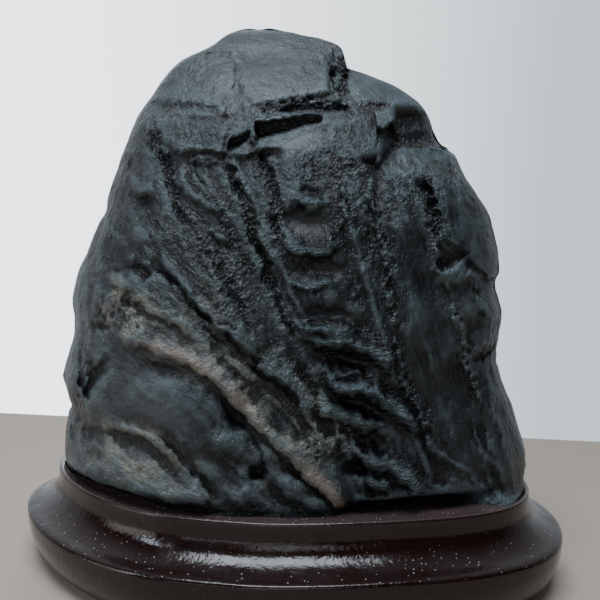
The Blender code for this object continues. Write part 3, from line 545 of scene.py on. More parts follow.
def quarter(side, tip, angle, fullness):
    """Quarter of a section from its side point to its front or back tip.

    A superellipse arc about a sheared centre, so that it leaves the side nearly along the eye's
    line of sight and reaches the tip square to it.
    """
    level = np.array((math.cos(EYE_TURN), math.sin(EYE_TURN)))
    sight = (side - EYE[:2]) * SIGHT_SHARE
    gap = side - tip
    reach = (gap[..., 0] * level[1] - gap[..., 1] * level[0]) / (
        sight[..., 0] * level[1] - sight[..., 1] * level[0])
    centre = tip + reach[..., None] * sight
    to_tip, to_side = np.abs(np.sin(angle)), np.abs(np.cos(angle))
    size = (to_tip ** fullness + to_side ** fullness) ** (-1.0 / fullness)
    to_tip, to_side = to_tip * size, to_side * size
    return centre + (tip - centre) * to_tip[..., None] + (side - centre) * to_side[..., None]


def foot_point(angle):
    """Point of the foot's outline in each direction from the foot's centre."""
    spokes = np.array(FOOT_OUTLINE) - FOOT_CENTRE
    angles = np.arctan2(spokes[:, 1], spokes[:, 0])
    order = np.argsort(angles)
    radius = np.interp(angle, angles[order], np.hypot(spokes[:, 0], spokes[:, 1])[order],
                       period=2 * math.pi)
    return FOOT_CENTRE + radius[..., None] * np.stack((np.cos(angle), np.sin(angle)), axis=-1)


def column_angles(columns, front_columns):
    """Angles round a section, from its left side over the front to the right and the back."""
    share = np.arange(front_columns) / front_columns
    crowd = FRONT_CROWDING * np.sin(2 * math.pi * share) / (2 * math.pi)
    front = -math.pi + math.pi * (share + crowd)
    back_columns = columns - front_columns
    back = math.pi * np.arange(back_columns) / back_columns
    return np.concatenate((front, back))


def level_heights(levels):
    """Heights of the sections from the seat up: even on the body, crowding at the rounded top."""
    share = np.arange(1, levels) / (levels - 1)
    drop = np.sqrt(1 + (share / TOP_ROUNDING) ** 2) - 1
    heights = SUMMIT_Z - (SUMMIT_Z - SEAT_TOP_Z) * drop / drop[-1]
    return np.concatenate((heights, (RECESS_FLOOR_Z + SEAT_GAP,)))[::-1]


def bare_form(heights, angles):
    """Loft of sections without relief: one row of points for each height."""
    z = heights[:, None] + 0.0 * angles[None, :]
    angle = angles[None, :] + 0.0 * z
    left, right = line_at(side_line(LEFT_OUTLINE), z), line_at(side_line(RIGHT_OUTLINE), z)
    crest = [(SUMMIT_Z, summit()[0], SUMMIT_Y)]
    front = line_at(list(FRONT_LINE) + crest, z)
    back = line_at(list(BACK_LINE) + crest, z)
    side = np.where(np.cos(angle)[..., None] < 0, left, right)
    is_front = np.sin(angle) <= 0
    tip = np.where(is_front[..., None], front, back)
    fullness = np.where(is_front, FRONT_FULLNESS, BACK_FULLNESS)
    plan = quarter(side, tip, angle, fullness)
    spoke = plan - FOOT_CENTRE
    foot = foot_point(np.arctan2(spoke[..., 1], spoke[..., 0]))
    rise = np.clip((z - SEAT_TOP_Z) / UNDERCUT_HEIGHT, 0.0, 1.0)
    share = ((1.0 - rise) ** UNDERCUT_POWER)[..., None]
    plan = plan * (1.0 - share) + foot * share
    return np.concatenate((plan, z[..., None]), axis=-1)


def along_line(pairs, u, w):
    """Distance to a bent line, positive on its left hand, and the share of the way along it."""
    knots = np.array(pairs, dtype=float).reshape(-1, 2)
    lengths = np.hypot(*np.diff(knots, axis=0).T)
    starts = np.concatenate(((0.0,), np.cumsum(lengths)))
    nearest = np.full(u.shape, FAR)
    signed = np.zeros(u.shape)
    share = np.zeros(u.shape)
    for (a, b), length, start in zip(zip(knots[:-1], knots[1:]), lengths, starts):
        step = (b - a) / length
        run = np.clip((u - a[0]) * step[0] + (w - a[1]) * step[1], 0.0, length)
        off_u, off_w = u - a[0] - run * step[0], w - a[1] - run * step[1]
        distance = np.hypot(off_u, off_w)
        closer = distance < nearest
        nearest = np.where(closer, distance, nearest)
        signed = np.where(closer, np.copysign(distance, step[0] * off_w - step[1] * off_u), signed)
        share = np.where(closer, (start + run) / starts[-1], share)
    return signed, share


def taper(share):
    """Fades a line to a quarter of its height over the first and the last eighth of its run."""
    return 0.25 + 0.75 * smoothstep(0.0, 0.12, np.minimum(share, 1.0 - share))


def drawn_lines(rows, u, w, roundness=LINE_ROUNDNESS, vary=1.0, upper_reach=1.0):
    """Sum of lines: each falls off from its middle by a rounded bell, wider on its upper side."""
    total = np.zeros(u.shape)
    for height, half_width, pairs in rows:
        distance, share = along_line(pairs, u, w)
        width = np.where(distance > 0, half_width * upper_reach, half_width) * vary
        total += height * taper(share) * np.exp(-np.abs(distance / width) ** roundness)
    return total


def drawn_steps(rows, u, w):
    """Sum of steps: a soft switch across each edge that dies away behind it."""
    total = np.zeros(u.shape)
    for height, crispness, reach, pairs in rows:
        distance, _ = along_line(pairs, u, w)
        forward = 0.5 + 0.5 * np.tanh(distance / crispness)
        fall = np.exp(-(np.maximum(distance, 0.0) / reach) ** 2)
        chord_u, chord_w = pairs[-2] - pairs[0], pairs[-1] - pairs[1]
        run = ((u - pairs[0]) * chord_u + (w - pairs[1]) * chord_w) / (chord_u ** 2 + chord_w ** 2)
        total += height * smoothstep(0.0, 0.15, np.minimum(run, 1.0 - run)) * forward * fall
    return total


def with_facets(lift, u, w):
    """Lift with flat faces cut into it: a tilted plane inside each convex outline.

    A point is inside where it is on the inner side of every edge; the nearest edge's distance
    switches softly from the old height to the plane's.
    """
    for height, gain_u, gain_w, softness, outline in FACETS:
        corners = np.array(outline, dtype=float).reshape(-1, 2)
        ahead = np.roll(corners, -1, axis=0) - corners
        winding = np.sign(np.sum(corners[:, 0] * ahead[:, 1] - corners[:, 1] * ahead[:, 0]))
        inside = np.full(u.shape, FAR)
        for corner, step in zip(corners, ahead / np.linalg.norm(ahead, axis=1, keepdims=True)):
            off_edge = step[0] * (w - corner[1]) - step[1] * (u - corner[0])
            inside = np.minimum(inside, winding * off_edge)
        middle = corners.mean(axis=0)
        plane = height + gain_u * (u - middle[0]) + gain_w * (w - middle[1])
        lift = lift + (plane - lift) * smoothstep(-softness, softness, inside)
    return lift


def drawn_spots(rows, u, w):
    """Sum of oval lumps and hollows, each a rounded bell turned by its angle."""
    total = np.zeros(u.shape)
    for height, middle_u, middle_w, half_length, half_width, turn in rows:
        cos_turn, sin_turn = math.cos(math.radians(turn)), math.sin(math.radians(turn))
        along = ((u - middle_u) * cos_turn + (w - middle_w) * sin_turn) / half_length
        across = ((w - middle_w) * cos_turn - (u - middle_u) * sin_turn) / half_width
        total += height * np.exp(-(along ** 2 + across ** 2) ** LUMP_ROUNDNESS)
    return total


def swell(points, length, seed):
    """Smooth seeded swell of about one unit: a sum of waves in random directions."""
    random = np.random.default_rng(seed)
    total = np.zeros(points.shape[:-1])
    waves = 24
    for _ in range(waves):
        heading = random.normal(size=3)
        heading /= np.linalg.norm(heading)
        pitch = length * random.uniform(0.75, 1.45)
        total += np.sin(2 * math.pi * (points @ heading) / pitch + random.uniform(0, 2 * math.pi))
    return total * math.sqrt(2.0 / waves)


# Large numbers that mix a cell's place and seed into a hash.
CELL_STEPS = (374761393, 668265263, 1274126177)
SEED_STEP = 974711
HASH_STEP = 1103515245
HASH_MASK = 0xFFFFFF


def cell_random(cells, seed):
    """A number from 0 to 1 for each whole-numbered cell: its three numbers mixed to a hash."""
    mixed = seed * SEED_STEP
    for axis, step in enumerate(CELL_STEPS):
        mixed = mixed + cells[..., axis] * step
    mixed = (mixed ^ (mixed >> 13)) * HASH_STEP
    mixed = mixed ^ (mixed >> 17)
    return (mixed & HASH_MASK) / float(HASH_MASK + 1)


def rough_noise(points, length, seed):
    """Noise from -1 to 1: random values on a lattice of that length, smoothly joined."""
    place = points / length
    low = np.floor(place).astype(np.int64)
    share = place - low
    share = share ** 3 * (share * (share * 6 - 15) + 10)
    total = np.zeros(points.shape[:-1])
    for corner in itertools.product((0, 1), repeat=3):
        weight = np.prod(np.where(np.array(corner) == 1, share, 1 - share), axis=-1)
        total += weight * cell_random(low + np.array(corner), seed)
    return 2.0 * total - 1.0


def layered_noise(points, length, seed, layers):
    """Sum of rough noises, each half as long and half as strong as the one before."""
    total = np.zeros(points.shape[:-1])
    for layer in range(layers):
        total += rough_noise(points, length / 2.03 ** layer, seed + layer) / 2 ** layer
    return total


def pits(points, spacing, seed):
    """Depth of round pits, 0 to 1: one in each lattice cell, at a random place and size."""
    place = points / spacing
    low = np.floor(place).astype(np.int64)
    deepest = np.zeros(points.shape[:-1])
    for corner in itertools.product((-1, 0, 1), repeat=3):
        cell = low + np.array(corner)
        shift = np.stack([cell_random(cell, seed + axis) for axis in range(3)], axis=-1)
        radius = 0.3 + 0.45 * cell_random(cell, seed + 3)
        distance = np.linalg.norm(place - cell - shift, axis=-1) / radius
        deepest = np.maximum(deepest, 1.0 - distance ** 2)
    return deepest


def side_relief(points):
    """Outward relief of the sides and the back: dipping strata furrows and lumps."""
    dip = STRATA_DIP / np.linalg.norm(STRATA_DIP)
    bend = STRATA_BEND * swell(points, BACK_SWELL_LENGTH, 11)
    phase = (points @ dip + bend) / STRATA_SPACING
    saw = phase - np.floor(phase)
    ledge = smoothstep(0.0, 0.16, saw) * (1.0 - saw) - 0.4
    lumps = LUMP_SWELL * swell(points, LUMP_SWELL_LENGTH, 23)
    return STRATA_DEPTH * ledge + BACK_SWELL * swell(points, BACK_SWELL_LENGTH, 17) + lumps


def outward(points):
    """Direction in which the sides and back swell: away from the axis, turning up at the top."""
    spoke = points[..., :2] - FOOT_CENTRE
    spoke = spoke / np.maximum(np.linalg.norm(spoke, axis=-1, keepdims=True), 1e-6)
    climb = np.clip((points[..., 2] - UPTURN_Z) / (SUMMIT_Z - UPTURN_Z), 0.0, 1.0)[..., None] ** 3
    return np.concatenate((spoke * (1.0 - climb), climb), axis=-1)


def wandering(points, u, w):
    """U and W pushed about by noise, so that nothing drawn on the sheet has an even edge."""
    shift_u, shift_w = (
        WANDER * rough_noise(points, WANDER_LENGTH, slow) + FRAY * rough_noise(points, FRAY_LENGTH, fast)
        for slow, fast in ((31, 37), (41, 43)))
    return u + shift_u, w + shift_w


def main_ribs(u, w):
    """Place across and along the main face's ribs, in millimetres on the sheet.

    They fan out from the ledge and lean to the right as they fall, most of all on the left.
    """
    fallen = np.clip((RIBS_TOP_W - w) / RIBS_HEIGHT, 0.0, 1.2)
    right_share = smoothstep(*LEAN_TURN, u - LEAN_TURN_RUN * fallen)
    lean = LEFT_LEAN * fallen * (1.0 - right_share) + RIGHT_LEAN * fallen ** 1.5 * right_share
    return u - lean, w


def valley_ribs(u, w):
    """Place across and along the ribs below the valley's edge, which run down to the right."""
    return VALLEY_RUN[1] * u + VALLEY_RUN[0] * w, VALLEY_RUN[0] * u - VALLEY_RUN[1] * w


def in_valley(u, w, softness):
    """Share that a place on the sheet lies below the valley's upper edge."""
    return smoothstep(softness, -softness, along_line(VALLEY_EDGE, u, w)[0])


def ribs(across, along, depth):
    """Crisp small ridges along the ribs: stretched noise, folded where it passes through nought.

    The third coordinate is the depth y, so that the ridges run on round the sides.
    """
    total = np.zeros(across.shape)
    for spacing, stretch, height, seed in RIB_LAYERS:
        place = np.stack((across, depth, along / stretch), axis=-1)
        total += height * (0.5 - np.abs(rough_noise(place, spacing, seed)) * 1.6)
    return total


def rib_relief(points, u, w):
    """Ribs of the main face and, below the valley's edge, those of the valley."""
    below = in_valley(u, w, VALLEY_SOFTNESS)
    depth = points[..., 1]
    return ribs(*main_ribs(u, w), depth) * (1.0 - below) + ribs(*valley_ribs(u, w), depth) * below


def front_relief(points, plain_u, plain_w, u, w, beads, ridges):
    """How far the front stands towards the eye: cracks, furrows, ripples, veins, steps, lumps.

    Lines grow wider and narrower, higher and lower by noise as they run; facets wander less.
    """
    vary = 1.0 + UNEVENNESS * rough_noise(points, UNEVENNESS_LENGTH, 101)
    fade = 1.0 + UNEVENNESS * rough_noise(points, UNEVENNESS_LENGTH, 103)
    steady_u = plain_u + FACET_WANDER * (u - plain_u)
    steady_w = plain_w + FACET_WANDER * (w - plain_w)
    lift = with_facets(drawn_steps(STEPS, u, w), steady_u, steady_w)
    lift += drawn_lines(CRACKS, u, w, CRACK_ROUNDNESS, vary=vary) * fade
    lift += drawn_lines(FURROWS, u, w, vary=vary) * fade
    lift += drawn_lines(VEINS, u, w, vary=vary) * beads
    lift += drawn_lines(RIPPLES, u, w, vary=vary, upper_reach=RIPPLE_UPPER_REACH) * fade
    ribbed = CAP_RIB_SHARE + (1.0 - CAP_RIB_SHARE) * smoothstep(*CAP_RIB_FADE, w)
    calm = 1.0 - SMOOTH_CALM * np.clip(drawn_spots(SMOOTH_SPOTS, u, w), 0.0, 1.0)
    return lift + drawn_spots(LUMPS, u, w) + ridges * ribbed * calm


def back_veins(points):
    """Thin winding lines on the sides and back, where a slow swell passes through nought."""
    total = np.zeros(points.shape[:-1])
    for squeeze, length, seed, width in VEIN_SWELLS_BEHIND:
        total += np.exp(-(swell(points * (1.0, 1.0, squeeze), length, seed) / width) ** 2)
    return total


def surface_normals(grid):
    """Outward direction at each point of a grid that is closed round its columns."""
    around = np.roll(grid, -1, axis=1) - np.roll(grid, 1, axis=1)
    upward = np.gradient(grid, axis=0)
    normal = np.cross(around, upward)
    return normal / np.maximum(np.linalg.norm(normal, axis=-1, keepdims=True), 1e-9)


def prominence(grid, normal, steps):
    """How far each point stands out from the mean of its neighbours, that many steps away."""
    rows = len(grid)
    above = grid[np.minimum(np.arange(rows) + steps, rows - 1)]
    below = grid[np.maximum(np.arange(rows) - steps, 0)]
    beside = np.roll(grid, steps, axis=1) + np.roll(grid, -steps, axis=1)
    return np.sum((grid - (above + below + beside) / 4.0) * normal, axis=-1)


def stone_surface(heights, angles):
    """The stone's surface and its masks: bare form, relief along the eye's rays, then roughness.

    Front relief moves a point towards the eye in proportion to its depth; side relief moves it
    outwards; undulation, grain and pits move it along the surface's own normal.
    """
    points = bare_form(heights, angles)
    backward = np.sin(angles)[None, :] + EDGE_WANDER * rough_noise(points, EDGE_WANDER_LENGTH, 29)
    facing = smoothstep(*FRONT_FADE, backward)
    behind = smoothstep(*BEHIND_FADE, backward)
    rise, drop = points[..., 2] - SEAT_TOP_Z, SUMMIT_Z - points[..., 2]
    seat = smoothstep(0.0, SEAT_FADE, rise)
    u, w, depth = to_sheet(points)
    drawn_u, drawn_w = wandering(points, u, w)
    beads = np.clip(BEAD_LEVEL + BEAD_SWING * rough_noise(points, BEAD_LENGTH, 61), 0.0, 2.0)
    ridges = rib_relief(points, drawn_u, drawn_w)
    lift = front_relief(points, u, w, drawn_u, drawn_w, beads, ridges) * facing * seat
    lift = lift * smoothstep(0.0, FRONT_TOP_FADE, drop)
    veins = back_veins(points) * behind
    beside = (side_relief(points) + VEIN_HEIGHT_BEHIND * beads * veins) * behind
    beside += BEHIND_RIBS * ridges * (1.0 - facing)
    beside = beside * seat * smoothstep(0.0, BEHIND_TOP_FADE, drop)
    moved = EYE + (points - EYE) * (1.0 - lift / depth)[..., None]
    moved = moved + outward(points) * beside[..., None]
    pitted = drawn_lines(PITTED_LINES, drawn_u, drawn_w)
    pitted += drawn_spots(PITTED_SPOTS, drawn_u, drawn_w)
    patches = smoothstep(0.1, 0.7, layered_noise(points, PITTED_PATCH_LENGTH, 67, 2))
    pitted = np.clip(pitted * facing + (veins + 0.8 * patches) * behind, 0.0, 1.0)
    roughness = UNDULATION * layered_noise(points, UNDULATION_LENGTH, 71, 2)
    roughness += GRAIN * layered_noise(points, GRAIN_LENGTH, 79, 2) * (0.35 + pitted)
    roughness -= PIT_DEPTH * pits(points, PIT_SPACING, 83) * pitted
    roughness = roughness * smoothstep(0.0, GRAIN_SEAT_FADE, rise) * smoothstep(*GRAIN_TOP_FADE, drop)
    moved = moved + surface_normals(moved) * roughness[..., None]
    masks = stone_masks(points, moved, drawn_u, drawn_w, facing, behind, pitted)
    return moved, masks


def stone_masks(points, moved, u, w, facing, behind, pitted):
    """Where each finish shows, 0 to 1, and the places across and along the ribs in millimetres.

    Tone is pale against dark: mostly the stone's own colour, but painted shade in the ripple
    hollows and in the notch's recess and flank, and painted light on the slab's top and the shelf.
    Rippled marks the undercut crests, smooth what is calm to the hand, pitted the rough parts, earth
    and pink the stains. Worn is how far a point stands out from its neighbours, a little more on
    veins and ripples: edges at 1 are painted paler, partly real wear and partly painted highlight;
    hollows at 0 are painted darker, which is painted shade.
    """
    cloud = 0.75 + 0.6 * layered_noise(points, STAIN_CLOUD_LENGTH, 89, 3)
    earth = drawn_lines(TAN_LINES, u, w) + drawn_spots(TAN_SPOTS, u, w)
    stain = smoothstep(0.2, 0.8, layered_noise(points, STAIN_LENGTH_BEHIND, 97, 3))
    normal = surface_normals(moved)
    # How far each point stands out: it paints crests paler, partly real wear and partly painted
    # highlight, and hollows darker, which is painted shade.
    edge = sum(weight * prominence(moved, normal, steps) for weight, steps in PROMINENCES)
    smooth = drawn_spots(SMOOTH_SPOTS, u, w) * facing + 0.3 * (1.0 - pitted) * (1.0 - facing)
    below = in_valley(u, w, 0.5)
    across, along = (
        on_face * (1.0 - below) + low * below
        for on_face, low in zip(main_ribs(u, w), valley_ribs(u, w)))
    # Crests of veins and ripples count as standing out further, so that they are painted paler: partly
    # real wear, partly painted highlight.
    crests = VEIN_CREST * drawn_lines(VEINS, u, w) + RIPPLE_CREST * drawn_lines(RIPPLES, u, w)
    rippled = drawn_lines(RIPPLES, u, w, vary=1.6, upper_reach=2.2)
    pink = drawn_lines(PINK_LINES, u, w) * (0.6 + 0.4 * cloud)
    return {
        # Pale against dark: the stone's own colour, with painted shade and painted light among the spots.
        "tone_and_painted_light": np.clip(0.35 + drawn_spots(TONE_AND_PAINTED_LIGHT_SPOTS, u, w) * facing, 0.0, 1.0),
        "rippled": np.clip(rippled * facing, 0.0, 1.0),
        "across": across,
        "along": along,
        "smooth": np.clip(smooth, 0.0, 1.0),
        "pitted": pitted,
        "earth": np.clip(earth * cloud * facing + 0.5 * stain * behind, 0.0, 1.0),
        "pink": np.clip(pink * facing, 0.0, 1.0),
        "wear_and_painted_light": np.clip(0.5 + edge + crests * facing, 0.0, 1.0),
    }


def closed_loft(name, rings, bottom, top):
    """Mesh of a grid of rings closed round its columns, with a fan to a middle point at each end."""
    rows, columns = rings.shape[:2]
    corners = np.concatenate((rings.reshape(-1, 3), (bottom, top))) * MM
    index = np.arange(rows * columns).reshape(rows, columns)
    after = np.roll(index, -1, axis=1)
    sides = np.stack((index[:-1], after[:-1], after[1:], index[1:]), axis=-1).reshape(-1, 4)
    low_hub = np.full(columns, rows * columns)
    low = np.stack((after[0], index[0], low_hub), axis=-1)
    high = np.stack((index[-1], after[-1], low_hub + 1), axis=-1)
    mesh = bpy.data.meshes.new(name)
    mesh.from_pydata(corners.tolist(), [], sides.tolist() + low.tolist() + high.tolist())
    mesh.shade_smooth()
    piece = bpy.data.objects.new(name, mesh)
    bpy.context.scene.collection.objects.link(piece)
    return piece


def paint_mask(piece, name, values):
    """Stores one number for each corner point of the mesh, which the material reads by name."""
    layer = piece.data.attributes.new(name, "FLOAT", "POINT")
    layer.data.foreach_set("value", values.astype(np.float32))


def make_stone():
    """The stone: one closed piece with its fine relief, its pits and the masks of its finish."""
    angles = column_angles(STONE_COLUMNS, STONE_FRONT_COLUMNS)
    rings, masks = stone_surface(level_heights(STONE_LEVELS), angles)
    seat_centre = (*FOOT_CENTRE, RECESS_FLOOR_Z + SEAT_GAP)
    piece = closed_loft("fine_stone", rings, seat_centre, summit())
    for name, values in masks.items():
        ends = (values[0].mean(), values[-1].mean())
        paint_mask(piece, name, np.concatenate((values.ravel(), ends)))
    return piece


def offset_ring(ring, distance):
    """Closed outline moved outwards (distance above 0) or inwards, square to its edges."""
    ahead = np.roll(ring, -1, axis=0) - np.roll(ring, 1, axis=0)
    ahead /= np.linalg.norm(ahead, axis=1, keepdims=True)
    return ring + distance * np.stack((ahead[:, 1], -ahead[:, 0]), axis=1)


def arris_ring(angle):
    """Widest oval of the stand in each direction, centred on the origin."""
    knots = np.array(ARRIS_OUTLINE, dtype=float)
    angles = np.arctan2(knots[:, 1], knots[:, 0])
    order = np.argsort(angles)
    keys = angles[order]
    radii = np.hypot(knots[:, 0], knots[:, 1])[order]
    turn = 2 * math.pi
    keys = np.concatenate((keys - turn, keys, keys + turn))
    radii = np.concatenate((radii, radii, radii))
    window = np.linspace(-ARRIS_SMOOTHING, ARRIS_SMOOTHING, 9)
    radius = np.mean([smooth_table(keys, radii, angle + shift) for shift in window], axis=0)
    ring = radius[:, None] * np.stack((np.cos(angle), np.sin(angle)), axis=1)
    return ring - (ring.min(axis=0) + ring.max(axis=0)) / 2


def smooth_profile(rows, steps):
    """Inset and height at even steps along a profile, on a cubic through its rows."""
    knots = np.array(rows)
    travel = np.concatenate(((0.0,), np.cumsum(np.hypot(*np.diff(knots, axis=0).T))))
    wanted = np.linspace(0.0, travel[-1], steps)
    return list(zip(*(smooth_table(travel, knots[:, axis], wanted) for axis in range(2))))


def flat_ring(ring, z):
    """Ring of plan points at one height."""
    return np.column_stack((ring, np.full(len(ring), z)))


def make_stand():
    """The stand: rounded foot, band, cove and lip, with a recess cut to the stone's foot."""
    angles = column_angles(STAND_COLUMNS, STAND_FRONT_COLUMNS)
    foot = bare_form(np.array((SEAT_TOP_Z,)), angles)[0, :, :2]
    spoke = foot - FOOT_CENTRE
    oval = arris_ring(np.arctan2(spoke[:, 1], spoke[:, 0]))
    profile = smooth_profile(FOOT_PROFILE, FOOT_STEPS) + smooth_profile(COVE_PROFILE, COVE_STEPS)
    rings = [flat_ring(offset_ring(oval, -inset), z) for inset, z in profile]
    recess = flat_ring(offset_ring(foot, RECESS_CLEARANCE), RECESS_EDGE_Z)
    lip = rings[-1]
    for share in np.linspace(0.0, 1.0, TOP_STEPS)[1:]:
        rings.append(lip + (recess - lip) * share)
    rings.append(recess - (0.0, 0.0, RECESS_EDGE_Z - RECESS_FLOOR_Z))
    piece = closed_loft("fine_stand", np.array(rings), (0, 0, 0), (*FOOT_CENTRE, RECESS_FLOOR_Z))
    piece.data.set_sharp_from_angle(angle=SHARP_EDGE)
    return piece


def linear_colour(code):
    """sRGB hex value as the linear colour that shaders work in."""
    parts = [int(code[start:start + 2], 16) / 255.0 for start in (1, 3, 5)]
    return tuple(p / 12.92 if p <= 0.04045 else ((p + 0.055) / 1.055) ** 2.4 for p in parts) + (1.0,)


def add_node(tree, kind, inputs=None, **settings):
    """Adds a node, sets its settings, and sets or links its inputs, given by name or number."""
    node = tree.nodes.new(kind)
    for name, value in settings.items():
        setattr(node, name, value)
    for name, value in (inputs or {}).items():
        if isinstance(value, bpy.types.NodeSocket):
            tree.links.new(value, node.inputs[name])
        else:
            node.inputs[name].default_value = value
    return node


def per_metre(millimetres):
    """Scale of a pattern on Object coordinates whose features are that long."""
    return 1.0 / (millimetres * MM)


def new_material(name):
    """Empty node material with its output node."""
    material = bpy.data.materials.new(name)
    material.use_nodes = True
    tree = material.node_tree
    tree.nodes.clear()
    return material, tree, tree.nodes.new("ShaderNodeOutputMaterial")


# Spacing of the slate's fine streaks along its ribs, in millimetres.
STREAK_SPACING = 1.6


def water_worn_slate():
    """Water-smoothed black slate, hand-polished: a dull waxy sheen on a bluish black ground.

    Edges that stand out are painted paler and are smoother, partly real wear and partly painted
    highlight; hollows are painted darker, which is painted shade, and pits are dark and dull; earth
    in the valley stains it tan, and an iron vein pinkish. Real slate's grain is finer than a tenth
    of a millimetre; speckle, chips and streaks are drawn 1.3 to 1.6 mm coarse, so that they show.
    """
    material, tree, output = new_material("water_worn_slate")
    place = add_node(tree, "ShaderNodeTexCoord").outputs["Object"]
    made = {}
    for name in ("pitted", "earth", "pink", "wear_and_painted_light", "smooth", "tone_and_painted_light", "rippled", "across", "along"):
        made[name] = add_node(tree, "ShaderNodeAttribute", attribute_name=name).outputs["Fac"]
    # Noises: length in millimetres, detail and roughness.
    for name, length, detail, roughness in (
            ("cloud", 26, 5.0, 0.6), ("blotch", 11, 5.0, 0.65), ("leather", 2.4, 3.0, 0.6),
            ("speckle", 1.6, 4.0, 0.7)):
        made[name] = add_node(tree, "ShaderNodeTexNoise", {
            "Vector": place, "Scale": per_metre(length), "Detail": detail,
            "Roughness": roughness}).outputs["Fac"]
    # Darker and paler by the spots of the stone's colour, some of which are painted shade and painted
    # light.
    made["cloudy"] = add_node(tree, "ShaderNodeMath", {
        0: made["cloud"], 1: 0.4, 2: made["tone_and_painted_light"]}, operation="MULTIPLY_ADD").outputs[0]
    made["earthy"] = add_node(tree, "ShaderNodeMath", {
        0: made["earth"], 1: made["speckle"]}, operation="MULTIPLY").outputs[0]
    # The two shares read from how far a point stands out paint hollows darker, which is painted shade,
    # and edges paler, partly real wear and partly painted highlight.
    # Shares: where each starts and ends in its source, and how strong it is there.
    for name, source, low, high, at_low, at_high in (
            ("shade", "cloudy", 0.15, 1.2, 0.0, 1.0), ("olive", "blotch", 0.42, 0.66, 0.0, 0.45),
            ("mottle", "speckle", 0.35, 0.7, 0.0, 0.4), ("stain", "earthy", 0.1, 0.5, 0.0, 0.75),
            ("grains", "speckle", 0.52, 0.64, 0.0, 0.5), ("painted_hollow_shade", "wear_and_painted_light", 0.25, 0.56, 0.92, 0.0),
            ("rubbed_and_painted_highlight", "wear_and_painted_light", 0.57, 0.92, 0.0, 0.42), ("sheen", "speckle", 0.3, 0.7, 0.27, 0.44),
            ("liveliness", "smooth", 0.0, 1.0, 1.0, 0.16)):
        made[name] = add_node(tree, "ShaderNodeMapRange", {
            0: made[source], 1: low, 2: high, 3: at_low, 4: at_high}).outputs[0]
    made["vein"] = add_node(tree, "ShaderNodeMath", {
        0: made["pink"], 1: 0.75}, operation="MULTIPLY").outputs[0]
    made["grain"] = add_node(tree, "ShaderNodeMath", {
        0: made["grains"], 1: made["pitted"]}, operation="MULTIPLY").outputs[0]
    pale = add_node(tree, "ShaderNodeMix", {
        0: made["olive"], 6: linear_colour("#3c454b"), 7: linear_colour("#464842")},
        data_type="RGBA").outputs[2]
    colour = add_node(tree, "ShaderNodeMix", {
        0: made["shade"], 6: linear_colour("#0c1012"), 7: pale}, data_type="RGBA").outputs[2]
    # The dark and pale colours read from how far a point stands out are painted shade in hollows and a
    # paleness on edges that is partly wear and partly painted highlight.
    for share, code in (
            ("mottle", "#38454a"), ("stain", "#7d7f75"), ("vein", "#a28b77"), ("grain", "#7b807a"),
            ("painted_hollow_shade", "#0b0e10"), ("rubbed_and_painted_highlight", "#5f6f74")):
        colour = add_node(tree, "ShaderNodeMix", {
            0: made[share], 6: colour, 7: linear_colour(code)}, data_type="RGBA").outputs[2]
    gloss = add_node(tree, "ShaderNodeMath", {
        0: made["smooth"], 1: 0.12, 2: made["sheen"]}, operation="MULTIPLY_ADD")
    rib_along = add_node(tree, "ShaderNodeMath", {0: made["along"], 1: 0.35}, operation="MULTIPLY")
    parts = add_node(tree, "ShaderNodeSeparateXYZ", {0: place})
    rib_deep = add_node(tree, "ShaderNodeMath", {
        0: parts.outputs["Y"], 1: 1.0 / MM}, operation="MULTIPLY")
    rib_place = add_node(tree, "ShaderNodeCombineXYZ", {
        "X": made["across"], "Y": rib_along.outputs[0], "Z": rib_deep.outputs[0]})
    streaks = add_node(tree, "ShaderNodeTexNoise", {
        "Vector": rib_place.outputs[0], "Scale": 1.0 / STREAK_SPACING, "Detail": 3.0,
        "Roughness": 0.65})
    chips = add_node(tree, "ShaderNodeTexVoronoi", {"Vector": place, "Scale": per_metre(1.3)})
    wavelet_place = add_node(tree, "ShaderNodeMapping", {
        "Vector": place, "Rotation": (0.0, math.radians(14), 0.0), "Scale": (0.25, 0.25, 1.0)})
    wavelets = add_node(tree, "ShaderNodeTexNoise", {
        "Vector": wavelet_place.outputs[0], "Scale": per_metre(1.5), "Detail": 2.0, "Roughness": 0.6})
    skin = add_node(tree, "ShaderNodeMath", {
        0: streaks.outputs["Fac"], 1: 0.9, 2: made["leather"]}, operation="MULTIPLY_ADD")
    height = add_node(tree, "ShaderNodeMath", {
        0: skin.outputs[0], 1: made["liveliness"]}, operation="MULTIPLY")
    for pattern, mask, depth in (
            (chips.outputs["Distance"], "pitted", 1.0), (wavelets.outputs["Fac"], "rippled", 2.6)):
        shown = add_node(tree, "ShaderNodeMath", {0: pattern, 1: made[mask]}, operation="MULTIPLY")
        height = add_node(tree, "ShaderNodeMath", {
            0: shown.outputs[0], 1: depth, 2: height.outputs[0]}, operation="MULTIPLY_ADD")
    relief = add_node(tree, "ShaderNodeBump", {
        "Strength": 1.0, "Distance": 1.4 * MM, "Height": height.outputs[0]})
    shader = add_node(tree, "ShaderNodeBsdfPrincipled", {
        "Base Color": colour, "Roughness": gloss.outputs[0], "IOR": 1.5,
        "Specular IOR Level": 0.38, "Normal": relief.outputs["Normal"]})
    tree.links.new(shader.outputs["BSDF"], output.inputs["Surface"])
    return material


